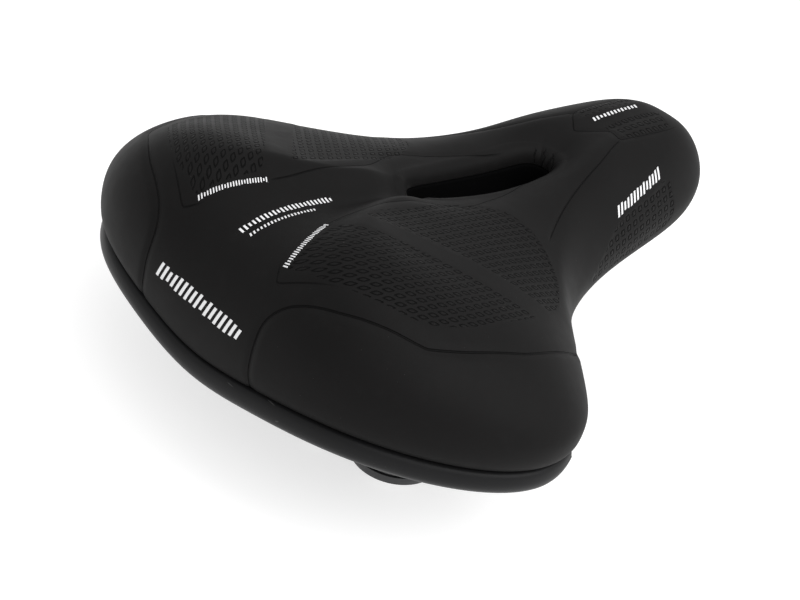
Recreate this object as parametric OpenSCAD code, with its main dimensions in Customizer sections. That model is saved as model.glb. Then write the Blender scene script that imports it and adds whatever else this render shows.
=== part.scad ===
// Comfort bicycle saddle with a sprung rear, as separate pieces in one frame.
// Units are mm.  +Y points to the nose, +X to the rider's right, +Z up.
// The origin is midway between the two rails at the middle of their clamping
// length, at the height of the rails' centre line.

/* [Cover and padding] */
// Thickness of the moulded skin
skin_t = 1.6; // [1.2:0.1:2.2]
// Height of the lower, curled-in edge above the rails, added to every edge height
edge_lift = 0; // [-4:1:6]
// Extra height of the whole padded top
top_lift = 0; // [-4:1:10]
// Half width of the centre slot at its middle
slot_half_w = 8.5; // [7:0.5:10]
// Depth of the soft valley around the slot
funnel_depth = 4; // [2:0.5:6]
// Deepest pocket for the soft inserts
insert_depth = 7; // [4:0.5:9]

/* [Base shell] */
// Wall of the base shell
shell_t = 3; // [2.4:0.2:3.6]
// Depth of the rear edge guard below the cover's edge
guard_h = 12.5; // [9:0.5:15]

/* [Rails and springing] */
// Rail rod diameter
rail_d = 7; // [6.8:0.1:7.2]
// Distance between the rails' centre lines at the clamping length
rail_gap = 44; // [43:0.5:45]
// Distance from the middle back to the rails' rear bends
rail_back = 37; // [36:1:42]
// Distance from the middle forward to the rails' front bends
rail_front = 46; // [44:1:50]
// Sideways place of each rubber spring
spring_x = 51; // [51:0.5:54]
// Fore-and-aft place of the rubber springs
spring_y = -59; // [-62:1:-56]
// Rubber spring diameter
spring_d = 30; // [26:1:32]
// Rubber spring height
spring_h = 25; // [22:1:27]
// Fore-and-aft place of the nose bar, which is the hinge line
nose_y = 116; // [112:1:120]
// Height of the nose bar
nose_z = 33; // [31:0.5:34]

/* [Hidden] */
$fn = 64;
rr = rail_d / 2;
rx = rail_gap / 2;
// columns around the loop
NT = 72;
// half outline from the rear middle to the nose, as a smooth curve's control points
OUT = [[0, -121], [31, -120], [65, -114], [93, -90], [113, -54], [106, -19], [62, 5],
    [44, 45], [37, 96], [31, 138], [0, 153]];
// half outline of the slot, the same way
SLT = [[0, -19], [4, -19], [slot_half_w - 1.5, -16.5], [slot_half_w - 0.5, -12], [slot_half_w, 2],
    [slot_half_w + 0.5, 18], [slot_half_w, 34], [slot_half_w - 0.5, 44], [slot_half_w - 1.5, 53],
    [4, 57.5], [0, 59]];
// values at the outline's control points
LIP = [38, 44, 47, 41, 34, 32, 32, 34, 37, 41, 42];
WIDE = [11, 10, 10, 9, 9, 9, 10, 10, 10, 10, 10];
RAD = [72, 66, 52, 48, 45, 40, 22, 18, 18, 24, 34];
TUCK = [2, 2, 3, 4, 4, 4, 5, 6, 6, 6, 6];
DIP = [3, 2.5, 0.5, 0, 0, 0, 0, 0, 0, 0, 0];
// stations every 40 mm along Y from y0
y0 = -138;
TOPZ = [102, 94, 80, 79, 70, 74, 79, 74];
RISE = [2, 9, 9, 3, 5, 3, 0, 0];
CREST = [41, 50, 12, 8, 12, 22, 10, 10];
CROWN = [0.004, 0.0045, 0.002, 0.003, 0.008, 0.018, 0.020, 0.020];
PAN = [58, 57, 55, 52, 50, 49, 49, 49];
slot_edge = 6;
slot_drop = 8.7;
slot_wall = 0.6;
curl = 10;
C_SKIN = [0.09, 0.09, 0.09];
C_HARD = [0.14, 0.14, 0.145];
C_FOAM = [0.75, 0.72, 0.60];
C_GEL = [0.35, 0.50, 0.60];
C_STEEL = [0.72, 0.73, 0.75];
C_RUBBER = [0.06, 0.06, 0.06];

// cubic smoothing weights
function w4(u) = [pow(1 - u, 3) / 6, (3 * pow(u, 3) - 6 * u * u + 4) / 6,
    (-3 * pow(u, 3) + 3 * u * u + 3 * u + 1) / 6, pow(u, 3) / 6];
// closed loop from its half list: index 0 is the rear middle, 10 the nose
function wrap(i) = let (k = ((i % 20) + 20) % 20) k <= 10 ? k : 20 - k;
function side(i) = let (k = ((i % 20) + 20) % 20) k <= 10 ? 1 : -1;
function loop2(c, t) = let (i = floor(t), w = w4(t - i))
    [for (a = [0, 1]) w[0] * (a == 0 ? side(i - 1) : 1) * c[wrap(i - 1)][a]
        + w[1] * (a == 0 ? side(i) : 1) * c[wrap(i)][a]
        + w[2] * (a == 0 ? side(i + 1) : 1) * c[wrap(i + 1)][a]
        + w[3] * (a == 0 ? side(i + 2) : 1) * c[wrap(i + 2)][a]];
function loop1(c, t) = let (i = floor(t), w = w4(t - i))
    w[0] * c[wrap(i - 1)] + w[1] * c[wrap(i)] + w[2] * c[wrap(i + 1)] + w[3] * c[wrap(i + 2)];
function cl(k) = max(0, min(7, k));
function station(c, y) = let (u = max(0, min(6.999, (y - y0) / 40)), i = floor(u), w = w4(u - i))
    w[0] * c[cl(i - 1)] + w[1] * c[cl(i)] + w[2] * c[cl(i + 1)] + w[3] * c[cl(i + 2)];
function smooth(x) = let (k = max(0, min(1, x))) k * k * (3 - 2 * k);
// height of the padded top before its edge rounds over
function top_z(p) = let (x = abs(p[0]), c = station(CREST, p[1]))
    station(TOPZ, p[1]) + top_lift + station(RISE, p[1]) * smooth(x / c)
    - station(CROWN, p[1]) * pow(max(x - c / 2, 0), 2);
function valley(q) = funnel_depth * exp(-pow(q / 12, 2));
function lip_z(t) = loop1(LIP, t) + edge_lift;

// the skin's outer surface: t goes around, s from the slot's wall (-2) over the top
// (0 to 1), round the edge (1 to 2), down the side (2 to 3) and under (3 to 4)
function skin(t, s) = let (
    o = loop2(OUT, t),
    c = loop2(SLT, t),
    l = norm(o - c),
    d = (o - c) / l,
    r = min(loop1(RAD, t), 0.92 * (l - slot_edge)),
    lz = lip_z(t),
    wd = loop1(WIDE, t),
    tk = loop1(TUCK, t),
    s1 = max(0, min(1, s)),
    a = 90 * max(0, min(1, s - 1)),
    v = max(0, min(1, s - 2)),
    u = max(0, min(1, s - 3)),
    w = max(0, min(1, -s)),
    w2 = max(0, min(1, -s - 1)),
    q = s <= 1 ? slot_edge + (l - r - slot_edge) * s1 : l - r * (1 - pow(sin(a), 0.91)),
    xy = s <= 2 ? c + d * q : o - d * (tk * (1 - sqrt(1 - 0.98 * v * v)) + curl * u),
    zt = s <= 2 ? top_z(xy) - valley(q) * (1 + loop1(DIP, t) / 4) : 0,
    h = pow(max(cos(a), 0), 0.91),
    z = s <= 1 ? zt : s <= 2 ? (lz + wd) + (zt - lz - wd) * h : lz + wd * (1 - v) - 0.4 * u)
    s >= 0 ? [xy[0], xy[1], z]
    : [c[0] + d[0] * slot_edge * (1 - sin(90 * w)), c[1] + d[1] * slot_edge * (1 - sin(90 * w)),
        zt - (zt - top_z(c) + slot_drop) * (1 - cos(90 * w)) - slot_wall * w2];
function unit(v) = v / max(norm(v), 0.000001);
// outward direction of the skin
function out_dir(t, s) = let (e = 0.03, k = max(-1.97, min(3.96, s)))
    unit(cross(skin(t, k + e) - skin(t, k - e), skin(t + e, k) - skin(t - e, k)));
function below(t, s, d) = skin(t, s) - d * out_dir(t, s);

// a closed ring solid: rows are loops of NT points, taken around the cross-section
module ring_solid(rows, n = NT) {
    m = len(rows);
    pts = [for (r = rows) for (p = r) p];
    tri = [for (i = [0:m - 1]) for (j = [0:n - 1])
        let (a = i * n + j, b = i * n + (j + 1) % n, c = ((i + 1) % m) * n + (j + 1) % n,
            d = ((i + 1) % m) * n + j)
        each [[a, d, c], [a, c, b]]];
    polyhedron(points = pts, faces = tri, convexity = 6);
}
function cols() = [for (j = [0:NT - 1]) 20 * j / NT];

// skin rows, outer and inner
S_OUT = [-2, -1, -0.5, 0, 0.3, 0.55, 0.65, 0.75, 0.88, 1, 1.1, 1.2, 1.3, 1.4, 1.5, 1.6, 1.75, 1.88,
    2, 2.4, 2.7, 2.88, 3, 4];
module cover() color(C_SKIN) ring_solid(concat(
    [for (s = S_OUT) [for (t = cols()) skin(t, s)]],
    [for (k = [len(S_OUT) - 1:-1:0]) [for (t = cols()) below(t, S_OUT[k], skin_t)]]));

// pockets for the soft inserts: a smooth oval in the skin's own (t, s) space
insert_t = 4.1;
insert_dt = 1.9;
insert_s = 1.02;
insert_ds = 0.42;
function oval(t, s) = let (k = t > 10 ? 20 - t : t)
    pow((k - insert_t) / insert_dt, 2) + pow((s - insert_s) / insert_ds, 2);
function pocket(t, s) = insert_depth * smooth((1 - oval(t, s)) * 1.6);

// base shell: an almost flat pan whose rim follows the cover's edge
function pan_z(p) = station(PAN, p[1]);
function pan_top(t, f) = let (
    o = loop2(OUT, t),
    c = loop2(SLT, t),
    l = norm(o - c),
    d = (o - c) / l,
    q0 = 2.6,
    q1 = l - loop1(TUCK, t) - 3,
    xy = c + d * (q0 + (q1 - q0) * f),
    g = smooth((f - 0.68) / 0.32))
    [xy[0], xy[1], pan_z(xy) * (1 - g) + (lip_z(t) + 2.2 + shell_t) * g];
F_PAN = [0, 0.35, 0.68, 0.76, 0.84, 0.92, 1];
module base_shell() color(C_HARD) ring_solid(concat(
    [for (f = F_PAN) [for (t = cols()) pan_top(t, f)]],
    [for (k = [len(F_PAN) - 1:-1:0]) [for (t = cols()) pan_top(t, F_PAN[k]) - [0, 0, shell_t]]]));

S_FOAM = [-1.5, -1, -0.5, 0, 0.3, 0.55, 0.65, 0.75, 0.88, 1, 1.1, 1.2, 1.3, 1.4, 1.5, 1.6, 1.75, 1.88,
    2, 2.4, 2.7];
// room between the skin and the foam
foam_gap = 0.6;
module foam_pad() color(C_FOAM) ring_solid(concat(
    [for (s = S_FOAM) [for (t = cols()) below(t, s, skin_t + foam_gap + (s > 0 ? pocket(t, s) : 0))]],
    [for (k = [len(F_PAN) - 1:-1:0]) [for (t = cols()) pan_top(t, F_PAN[k]) + [0, 0, 0.3]]]));

// soft inserts: a lens between the skin and the foam's pocket
function insert_low(t, s) = skin_t + 1.2 + 0.8 * max(pocket(t, s) - 1, 0);
module soft_insert(sgn) {
    n = 32;
    rows = [0.25, 0.5, 0.7, 0.84, 0.92];
    up = [for (r = rows) [for (j = [0:n - 1]) let (a = 360 * j / n,
        t = insert_t + insert_dt * r * cos(a), s = insert_s + insert_ds * r * sin(a))
        below(t, s, skin_t + 0.9)]];
    dn = [for (r = rows) [for (j = [0:n - 1]) let (a = 360 * j / n,
        t = insert_t + insert_dt * r * cos(a), s = insert_s + insert_ds * r * sin(a))
        below(t, s, insert_low(t, s))]];
    c_up = below(insert_t, insert_s, skin_t + 0.9);
    c_dn = below(insert_t, insert_s, insert_low(insert_t, insert_s));
    m = len(rows);
    all = concat([for (r = up) each r], [for (i = [m - 1:-1:0]) each dn[i]], [c_up, c_dn]);
    k = 2 * m;
    faces = concat(
        [for (i = [0:k - 2]) for (j = [0:n - 1]) let (a = i * n + j, b = i * n + (j + 1) % n)
            each [[a, b, b + n], [a, b + n, a + n]]],
        [for (j = [0:n - 1]) [k * n, (j + 1) % n, j]],
        [for (j = [0:n - 1]) [k * n + 1, (k - 1) * n + j, (k - 1) * n + (j + 1) % n]]);
    if (sgn > 0)
        polyhedron(points = all, faces = [for (f = faces) [f[2], f[1], f[0]]], convexity = 4);
    else
        polyhedron(points = [for (p = all) [-p[0], p[1], p[2]]], faces = faces, convexity = 4);
}
module soft_insert_left() color(C_GEL) soft_insert(-1);
module soft_insert_right() color(C_GEL) soft_insert(1);

// rear edge guard: a hooked band swept around the rear, u inward and v up from the edge
guard_t = 4.7;
GUARD = [[0.2, -0.7], [-1.5, -2], [-2.4, -5], [-1.8, -8], [0.4, -10.6], [4, -12.3], [7.5, -12.5],
    [7.2, -11], [4.6, -8.5], [3.6, -3.2], [15, -3.2], [15, -0.7]];
function guard_k(t) = let (k = abs(t) / guard_t, e = (k - 0.87) / 0.13)
    k < 0.87 ? 1 : max(sqrt(max(1 - e * e, 0)), 0.12);
function guard_pt(t, p) = let (
    tt = (t + 20) % 20,
    o = loop2(OUT, tt),
    c = loop2(SLT, tt),
    d = (o - c) / norm(o - c),
    v = p[1] > -3.3 ? p[1] : -3.2 + (p[1] + 3.2) * guard_k(t) * guard_h / 12.5,
    xy = o - d * (p[0] + loop1(TUCK, tt) * 0.86))
    [xy[0], xy[1], lip_z(tt) + v];
module rear_guard() color(C_HARD) {
    n = 56;
    m = len(GUARD);
    pts = [for (i = [0:n]) let (t = guard_t * (2 * i / n - 1)) for (p = GUARD) guard_pt(t, p)];
    side_f = [for (i = [0:n - 1]) for (j = [0:m - 1])
        let (a = i * m + j, b = i * m + (j + 1) % m)
        each [[a, b, b + m], [a, b + m, a + m]]];
    caps = [[for (j = [m - 1:-1:0]) j], [for (j = [0:m - 1]) n * m + j]];
    polyhedron(points = pts, faces = concat(side_f, caps), convexity = 6);
}
// screws that hold the guard's flange up to the shell
GUARD_SCREW_T = [-3.6, -1.6, 1.6, 3.6];
module guard_screws() color(C_STEEL) for (t = GUARD_SCREW_T) {
    p = guard_pt(t, [11, -3.2]);
    translate([p[0], p[1], p[2] - 2.2])
        cylinder(h = 1.6, r = 3, $fn = 32);
}

// slot liner: an L-shaped ring inside the slot, flanged under the shell
function hole_pt(t, q, z) = let (c = loop2(SLT, t), o = loop2(OUT, t), d = (o - c) / norm(o - c))
    [c[0] + d[0] * q, c[1] + d[1] * q, z];
function wall_z(t) = skin(t, -2)[2];
function pan_c(t) = pan_top(t, 0)[2];
module slot_liner() color(C_HARD) ring_solid([
    [for (t = cols()) hole_pt(t, -0.9, wall_z(t) - 0.6)],
    [for (t = cols()) hole_pt(t, 1.1, wall_z(t) - 0.6)],
    [for (t = cols()) hole_pt(t, 1.1, pan_c(t) - shell_t - 0.1)],
    [for (t = cols()) hole_pt(t, 8, pan_c(t) - shell_t - 0.3)],
    [for (t = cols()) hole_pt(t, 8, pan_c(t) - shell_t - 2.1)],
    [for (t = cols()) hole_pt(t, -0.9, pan_c(t) - shell_t - 2.1)]]);
module liner_screws() color(C_STEEL) for (t = [0, 4, 7, 10, 13, 16]) {
    p = hole_pt(t, 5.2, pan_c(t) - shell_t - 3.9);
    translate(p)
        cylinder(h = 1.7, r = 2, $fn = 24);
}
// wire staples that hold the turned-in skin to the shell
STAPLE_T = [for (k = [0:20]) 4.95 + 10.1 * k / 20];
module edge_staples() color(C_STEEL) for (t = STAPLE_T) {
    a = skin(t, 3.55);
    u = unit(skin(t + 0.05, 3.55) - skin(t - 0.05, 3.55));
    translate([a[0], a[1], a[2] - 0.5])
        rotate([0, -asin(u[2]), atan2(u[1], u[0])])
            translate([-4, -0.35, -0.35])
                cube([8, 0.7, 0.7]);
}

// one bent rod from a list of corner points and bend radii
module rod(a, b, r) {
    v = b - a;
    l = norm(v);
    translate(a)
        rotate([0, acos(v[2] / l), atan2(v[1], v[0])])
            cylinder(h = l, r = r);
}
function bend_len(a, b, c, br) = let (u = unit(b - a), v = unit(c - b)) br * tan(acos(u * v) / 2);
module bend(a, b, c, br, r) {
    u = unit(b - a);
    v = unit(c - b);
    th = acos(u * v);
    p1 = b - u * br * tan(th / 2);
    o = b + unit(v - u) * br / cos(th / 2);
    x = unit(p1 - o);
    z = cross(x, u);
    multmatrix([[x[0], u[0], z[0], o[0]], [x[1], u[1], z[1], o[1]], [x[2], u[2], z[2], o[2]],
        [0, 0, 0, 1]])
        rotate_extrude(angle = th)
            translate([br, 0])
                circle(r = r + 0.02, $fn = 32);
}
// straight lengths run 0.3 mm into each bend, which is a hair thicker
module bent(p, b, r) {
    n = len(p);
    for (i = [0:n - 2]) {
        s = i == 0 ? 0 : bend_len(p[i - 1], p[i], p[i + 1], b[i]);
        e = i == n - 2 ? 0 : bend_len(p[i], p[i + 1], p[i + 2], b[i + 1]);
        u = unit(p[i + 1] - p[i]);
        rod(p[i] + u * (s > 0 ? s - 0.3 : 0), p[i + 1] - u * (e > 0 ? e - 0.3 : 0), r);
    }
    for (i = [1:n - 2])
        bend(p[i - 1], p[i], p[i + 1], b[i], r);
}
tail_x = 24;
rivet_x = 7.8;
RAIL_PTS = [[tail_x, -74, 0], [tail_x, -56, 0], [rx, -rail_back, 0], [rx, rail_front, 0],
    [15, nose_y - 14, nose_z - 3.5], [15, nose_y, nose_z], [-15, nose_y, nose_z],
    [-15, nose_y - 14, nose_z - 3.5], [-rx, rail_front, 0], [-rx, -rail_back, 0],
    [-tail_x, -56, 0], [-tail_x, -74, 0]];
RAIL_BEND = [0, 16, 16, 40, 30, 7.5, 7.5, 30, 40, 16, 16, 0];
module rail() color(C_STEEL) bent(RAIL_PTS, RAIL_BEND, rr);

// pressed steel yoke across the rail tails, carrying both springs
yoke_z = rr + 0.05;
yoke_t = 3;
module rear_yoke() color(C_STEEL)
    translate([0, spring_y, yoke_z])
        linear_extrude(yoke_t)
            difference() {
                union() {
                    square([2 * spring_x, 26], center = true);
                    for (k = [-1, 1])
                        translate([k * spring_x, 0])
                            circle(r = 17);
                }
                for (k = [-1, 1]) {
                    translate([k * spring_x, 0])
                        circle(r = 5.2);
                    for (j = [-1, 1])
                        translate([k * tail_x + j * rivet_x, -6])
                            circle(r = 1.7, $fn = 32);
                }
                square([16, 9], center = true);
                for (j = [-1, 1])
                    translate([8 * j, 0])
                        circle(r = 4.5);
            }
// strap that holds one rail tail up to the yoke
module rail_strap() difference() {
    translate([tail_x - 11, spring_y - 11, -6])
        cube([22, 10, 6 + yoke_z - 0.05]);
    translate([tail_x, -90, 0])
        rotate([-90, 0, 0])
            cylinder(h = 60, r = rr + 0.05);
    for (j = [-1, 1])
        translate([tail_x + rivet_x * j, spring_y - 6, -10])
            cylinder(h = 20, r = 1.7, $fn = 32);
    for (j = [-1, 1])
        translate([tail_x + 9.5 * j - 4, spring_y - 12, -7])
            cube([8, 12, 3.4]);
}
module rail_strap_left() color(C_STEEL) mirror([1, 0, 0]) rail_strap();
module rail_strap_right() color(C_STEEL) rail_strap();
module strap_rivets() color(C_STEEL) for (k = [-1, 1]) for (j = [-1, 1])
    translate([k * tail_x + rivet_x * j, spring_y - 6, 0]) {
        translate([0, 0, -3.75])
            cylinder(h = 3.85 + yoke_z + yoke_t, r = 1.6, $fn = 32);
        translate([0, 0, -5])
            cylinder(h = 1.35, r = 2.2, $fn = 32);
        translate([0, 0, yoke_z + yoke_t + 0.05])
            cylinder(h = 1.3, r = 2.2, $fn = 32);
    }

// spring stack: lower cup, ribbed rubber, upper cup, moulded post
cup_z = yoke_z + yoke_t;
spring_z = cup_z + 2.5;
top_cup_z = spring_z + spring_h;
sr = spring_d / 2;
module at_spring(k) translate([k * spring_x, spring_y, 0]) children();
module lower_cup() translate([0, 0, cup_z + 0.05]) rotate_extrude()
    polygon([[5.2, 0], [sr + 1, 0], [sr + 2, 1], [sr + 2, 4.5], [sr + 0.6, 4.5], [sr + 0.6, 2.4],
        [5.2, 2.4]]);
module lower_cup_left() color(C_HARD) at_spring(-1) lower_cup();
module lower_cup_right() color(C_HARD) at_spring(1) lower_cup();
g = spring_h / 5;
module rubber_spring() translate([0, 0, spring_z + 0.05]) rotate_extrude()
    polygon([[5.2, 0], [sr - 1, 0], [sr, 0.8], [sr, g - 0.8], [sr - 1, g], [sr - 3.5, g + 1],
        [sr - 3.5, 2 * g - 1], [sr - 1, 2 * g], [sr, 2 * g + 0.8], [sr, 3 * g - 0.8],
        [sr - 1, 3 * g], [sr - 3.5, 3 * g + 1], [sr - 3.5, 4 * g - 1], [sr - 1, 4 * g],
        [sr, 4 * g + 0.8], [sr, spring_h - 0.9], [sr - 1, spring_h - 0.1],
        [5.2, spring_h - 0.1]]);
module rubber_spring_left() color(C_RUBBER) at_spring(-1) rubber_spring();
module rubber_spring_right() color(C_RUBBER) at_spring(1) rubber_spring();
module upper_cup() translate([0, 0, top_cup_z]) rotate_extrude()
    polygon([[3.2, 0], [sr + 0.6, 0], [sr + 0.6, -2], [sr + 2, -2], [sr + 2, 2], [sr, 3.4],
        [3.2, 3.4]]);
module upper_cup_left() color(C_HARD) at_spring(-1) upper_cup();
module upper_cup_right() color(C_HARD) at_spring(1) upper_cup();
// moulded post whose top follows the pan's underside
module shell_post(k) {
    n = 36;
    z0 = top_cup_z + 3.45;
    cx = k * spring_x;
    function zt(x, y) = station(PAN, y) - shell_t - 0.3;
    function at(r, j, lift) = let (a = 360 * j / n, x = cx + r * cos(a), y = spring_y + r * sin(a))
        [x, y, lift ? zt(x, y) : z0];
    ring_solid([
        [for (j = [0:n - 1]) at(3.1, j, false)],
        [for (j = [0:n - 1]) at(3.1, j, true)],
        [for (j = [0:n - 1]) at(8, j, true)],
        [for (j = [0:n - 1]) at(12, j, true)],
        [for (j = [0:n - 1]) at(12, j, false)]], n);
}
module shell_post_left() color(C_HARD) shell_post(-1);
module shell_post_right() color(C_HARD) shell_post(1);
// bolts hang from the posts and slide down through the yoke
bolt_top = 49;
module spring_bolts() color(C_STEEL) for (k = [-1, 1]) at_spring(k) {
    translate([0, 0, 1.2])
        cylinder(h = bolt_top - 1.2, r = 3);
    translate([0, 0, -2.8])
        difference() {
            cylinder(h = 4, r = 5.5);
            translate([0, 0, -1])
                cylinder(h = 3.4, r = 2.9, $fn = 6);
        }
}
module spring_washers() color(C_STEEL) for (k = [-1, 1]) at_spring(k)
    translate([0, 0, 1.3])
        difference() {
            cylinder(h = 1.8, r = 7);
            translate([0, 0, -1])
                cylinder(h = 4, r = 3.1);
        }

// nose socket under the shell and the clip that closes it around the rail's front bar
block_w = 14;
module nose_blank(z0, z1) translate([-block_w / 2, nose_y - 12, z0]) cube([block_w, 24, z1 - z0]);
module bar_bore() translate([-20, nose_y, nose_z]) rotate([0, 90, 0]) cylinder(h = 40, r = rr + 0.05);
module nose_socket() color(C_HARD) difference() {
    union() {
        nose_blank(nose_z + 0.1, 43.5);
        translate([-11, nose_y - 14, 40.7])
            cube([22, 28, 2.8]);
    }
    bar_bore();
    for (j = [-1, 1])
        translate([0, nose_y + 8 * j, 20])
            cylinder(h = 22, r = 2.05, $fn = 32);
}
module nose_clip() color(C_HARD) difference() {
    nose_blank(nose_z - 7.5, nose_z);
    bar_bore();
    for (j = [-1, 1])
        translate([0, nose_y + 8 * j, 20]) {
            cylinder(h = 22, r = 2.05, $fn = 32);
            cylinder(h = nose_z - 7.5 - 20 + 2.4, r = 3.6, $fn = 32);
        }
}
module nose_screws() color(C_STEEL) for (j = [-1, 1])
    translate([0, nose_y + 8 * j, nose_z - 7.3]) {
        difference() {
            cylinder(h = 2.2, r = 3.4, $fn = 32);
            translate([0, 0, -1])
                cylinder(h = 2.2, r = 1.6, $fn = 6);
        }
        cylinder(h = 15, r = 2, $fn = 32);
    }

cover();
foam_pad();
soft_insert_left();
soft_insert_right();
base_shell();
rear_guard();
guard_screws();
slot_liner();
liner_screws();
edge_staples();
rail();
rear_yoke();
rail_strap_left();
rail_strap_right();
strap_rivets();
lower_cup_left();
lower_cup_right();
rubber_spring_left();
rubber_spring_right();
upper_cup_left();
upper_cup_right();
shell_post_left();
shell_post_right();
spring_bolts();
spring_washers();
nose_socket();
nose_clip();
nose_screws();
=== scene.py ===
import math

import bmesh
import bpy
import numpy as np
from bpy.props import FloatProperty, FloatVectorProperty, IntProperty, PointerProperty
from mathutils import Matrix, Vector


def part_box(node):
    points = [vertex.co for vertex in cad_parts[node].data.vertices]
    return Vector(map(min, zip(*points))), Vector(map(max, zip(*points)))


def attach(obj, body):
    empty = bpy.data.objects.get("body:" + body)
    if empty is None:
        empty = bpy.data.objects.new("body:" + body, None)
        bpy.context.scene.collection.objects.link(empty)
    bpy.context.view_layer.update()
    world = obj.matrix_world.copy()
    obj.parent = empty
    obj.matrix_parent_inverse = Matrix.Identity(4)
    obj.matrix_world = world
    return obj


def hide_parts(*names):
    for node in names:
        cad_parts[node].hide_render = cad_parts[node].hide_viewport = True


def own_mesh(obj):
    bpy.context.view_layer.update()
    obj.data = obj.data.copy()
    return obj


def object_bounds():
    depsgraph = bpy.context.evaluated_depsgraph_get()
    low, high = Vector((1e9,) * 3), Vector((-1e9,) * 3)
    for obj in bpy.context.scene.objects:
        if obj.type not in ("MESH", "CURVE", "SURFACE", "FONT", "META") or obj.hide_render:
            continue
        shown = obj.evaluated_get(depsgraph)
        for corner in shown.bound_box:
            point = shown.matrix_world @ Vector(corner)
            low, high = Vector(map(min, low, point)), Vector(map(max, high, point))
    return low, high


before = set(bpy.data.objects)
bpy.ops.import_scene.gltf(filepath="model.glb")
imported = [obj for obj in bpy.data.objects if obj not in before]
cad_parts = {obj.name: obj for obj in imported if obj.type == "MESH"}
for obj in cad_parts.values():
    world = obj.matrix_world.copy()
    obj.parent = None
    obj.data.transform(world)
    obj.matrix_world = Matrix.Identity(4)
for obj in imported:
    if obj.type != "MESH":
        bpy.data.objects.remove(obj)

bl_info = {
    "name": "Sprung Comfort Saddle",
    "version": (1, 0, 0),
    "blender": (4, 5, 0),
    "location": "View3D > Sidebar > Saddle",
    "description": "Builds the skin, padding, shell, guard, springs and rails of a comfort bicycle saddle",
    "category": "Object",
}

CAD_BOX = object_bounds()
MM = 0.001


def span(node):
    """Lowest and highest corner of a CAD node at rest, in mm."""
    low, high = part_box(node)
    return np.array(low) / MM, np.array(high) / MM


SPRING_LOW, SPRING_HIGH = span("rubber_spring_right")
SPRING_X = float(round((SPRING_LOW[0] + SPRING_HIGH[0]) / 2, 2))
SPRING_Y = float(round((SPRING_LOW[1] + SPRING_HIGH[1]) / 2, 2))
SPRING_R = float(round((SPRING_HIGH[0] - SPRING_LOW[0]) / 2, 2))
LOWEST = CAD_BOX[0][2] / MM


# ---------------------------------------------------------------- sizes and colours

def length(name, text, value, low, high):
    """A length in metres, shown in the scene's unit."""
    return FloatProperty(name=name, description=text, default=value * MM, min=low * MM, max=high * MM,
                         subtype="DISTANCE", unit="LENGTH", precision=5)


def amount(name, text, value, low=0.0, high=1.0):
    """A plain number between two limits."""
    return FloatProperty(name=name, description=text, default=value, min=low, max=high)


def tint(name, text, value):
    """A linear colour."""
    return FloatVectorProperty(name=name, description=text, default=value, size=3, min=0.0, max=1.0,
                               subtype="COLOR")


class SaddleCoverSizes(bpy.types.PropertyGroup):
    skin: length("Skin thickness", "Wall of the moulded skin", 1.6, 1.2, 2.2)
    panel_groove: length("Panel groove", "Depth of the groove around each side panel", 0.6, 0.0, 1.2)
    crease: length("Crease", "Depth of the crease lines on the top", 0.35, 0.0, 1.0)
    ring_pitch: length("Ring pitch", "Step of the small pressed squares", 4.3, 2.5, 6.0)
    ring_half: length("Ring half width", "Half width of one pressed square", 1.5, 0.8, 2.5)
    ring_line: length("Ring line", "Half width of the line that draws a square", 0.38, 0.1, 0.6)
    ring_depth: length("Ring depth", "Depth of the pressed squares", 0.55, 0.0, 0.6)
    pucker: length("Pucker", "Height of the folds at the front of the slot", 0.7, 0.0, 1.5)
    mark_lift: length("Mark thickness", "Thickness of the printed marks", 0.08, 0.04, 0.2)
    shine: amount("Skin shine", "Strength of the skin's surface reflection", 0.07)
    colour: tint("Skin colour", "Soft-touch skin", (0.0066, 0.0063, 0.0063))
    mark_colour: tint("Mark colour", "Printed marks", (0.78, 0.78, 0.79))
    foam_colour: tint("Foam colour", "Open-cell foam", (0.55, 0.50, 0.36))
    gel_colour: tint("Insert colour", "Soft inserts", (0.10, 0.20, 0.27))


class SaddleShellSizes(bpy.types.PropertyGroup):
    rib: length("Rib height", "Height of the stiffening ribs under the shell", 2.0, 0.0, 3.0)
    rib_half: length("Rib half width", "Half width of one rib", 0.9, 0.5, 2.0)
    ease: length("Corner radius", "Rounding of the moulded corners", 0.7, 0.2, 1.0)
    colour: tint("Shell colour", "Moulded shell", (0.012, 0.012, 0.0125))
    guard_colour: tint("Guard colour", "Rear edge guard", (0.009, 0.009, 0.0095))
    # The liner's colour is set far darker than the shell's: its own black plastic plus painted shade for the dark
    # inside of the slot.
    liner_colour_and_shade: tint("Liner colour", "Slot liner", (0.0018, 0.0018, 0.0019))


class SaddleRailSizes(bpy.types.PropertyGroup):
    rod: length("Rod diameter", "Diameter of the rails", 7.0, 6.8, 7.2)
    ease: length("Edge radius", "Rounding of pressed and cut edges", 0.35, 0.1, 0.6)
    steel: tint("Plated steel", "Rails", (0.56, 0.56, 0.57))
    paint: tint("Black coating", "Yoke and straps", (0.018, 0.018, 0.019))
    zinc: tint("Zinc plating", "Screws, rivets, bolts and washers", (0.52, 0.52, 0.50))
    rubber: tint("Spring rubber", "Rubber springs", (0.014, 0.014, 0.014))
    cup: tint("Cup plastic", "Cups and posts", (0.022, 0.022, 0.023))


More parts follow.
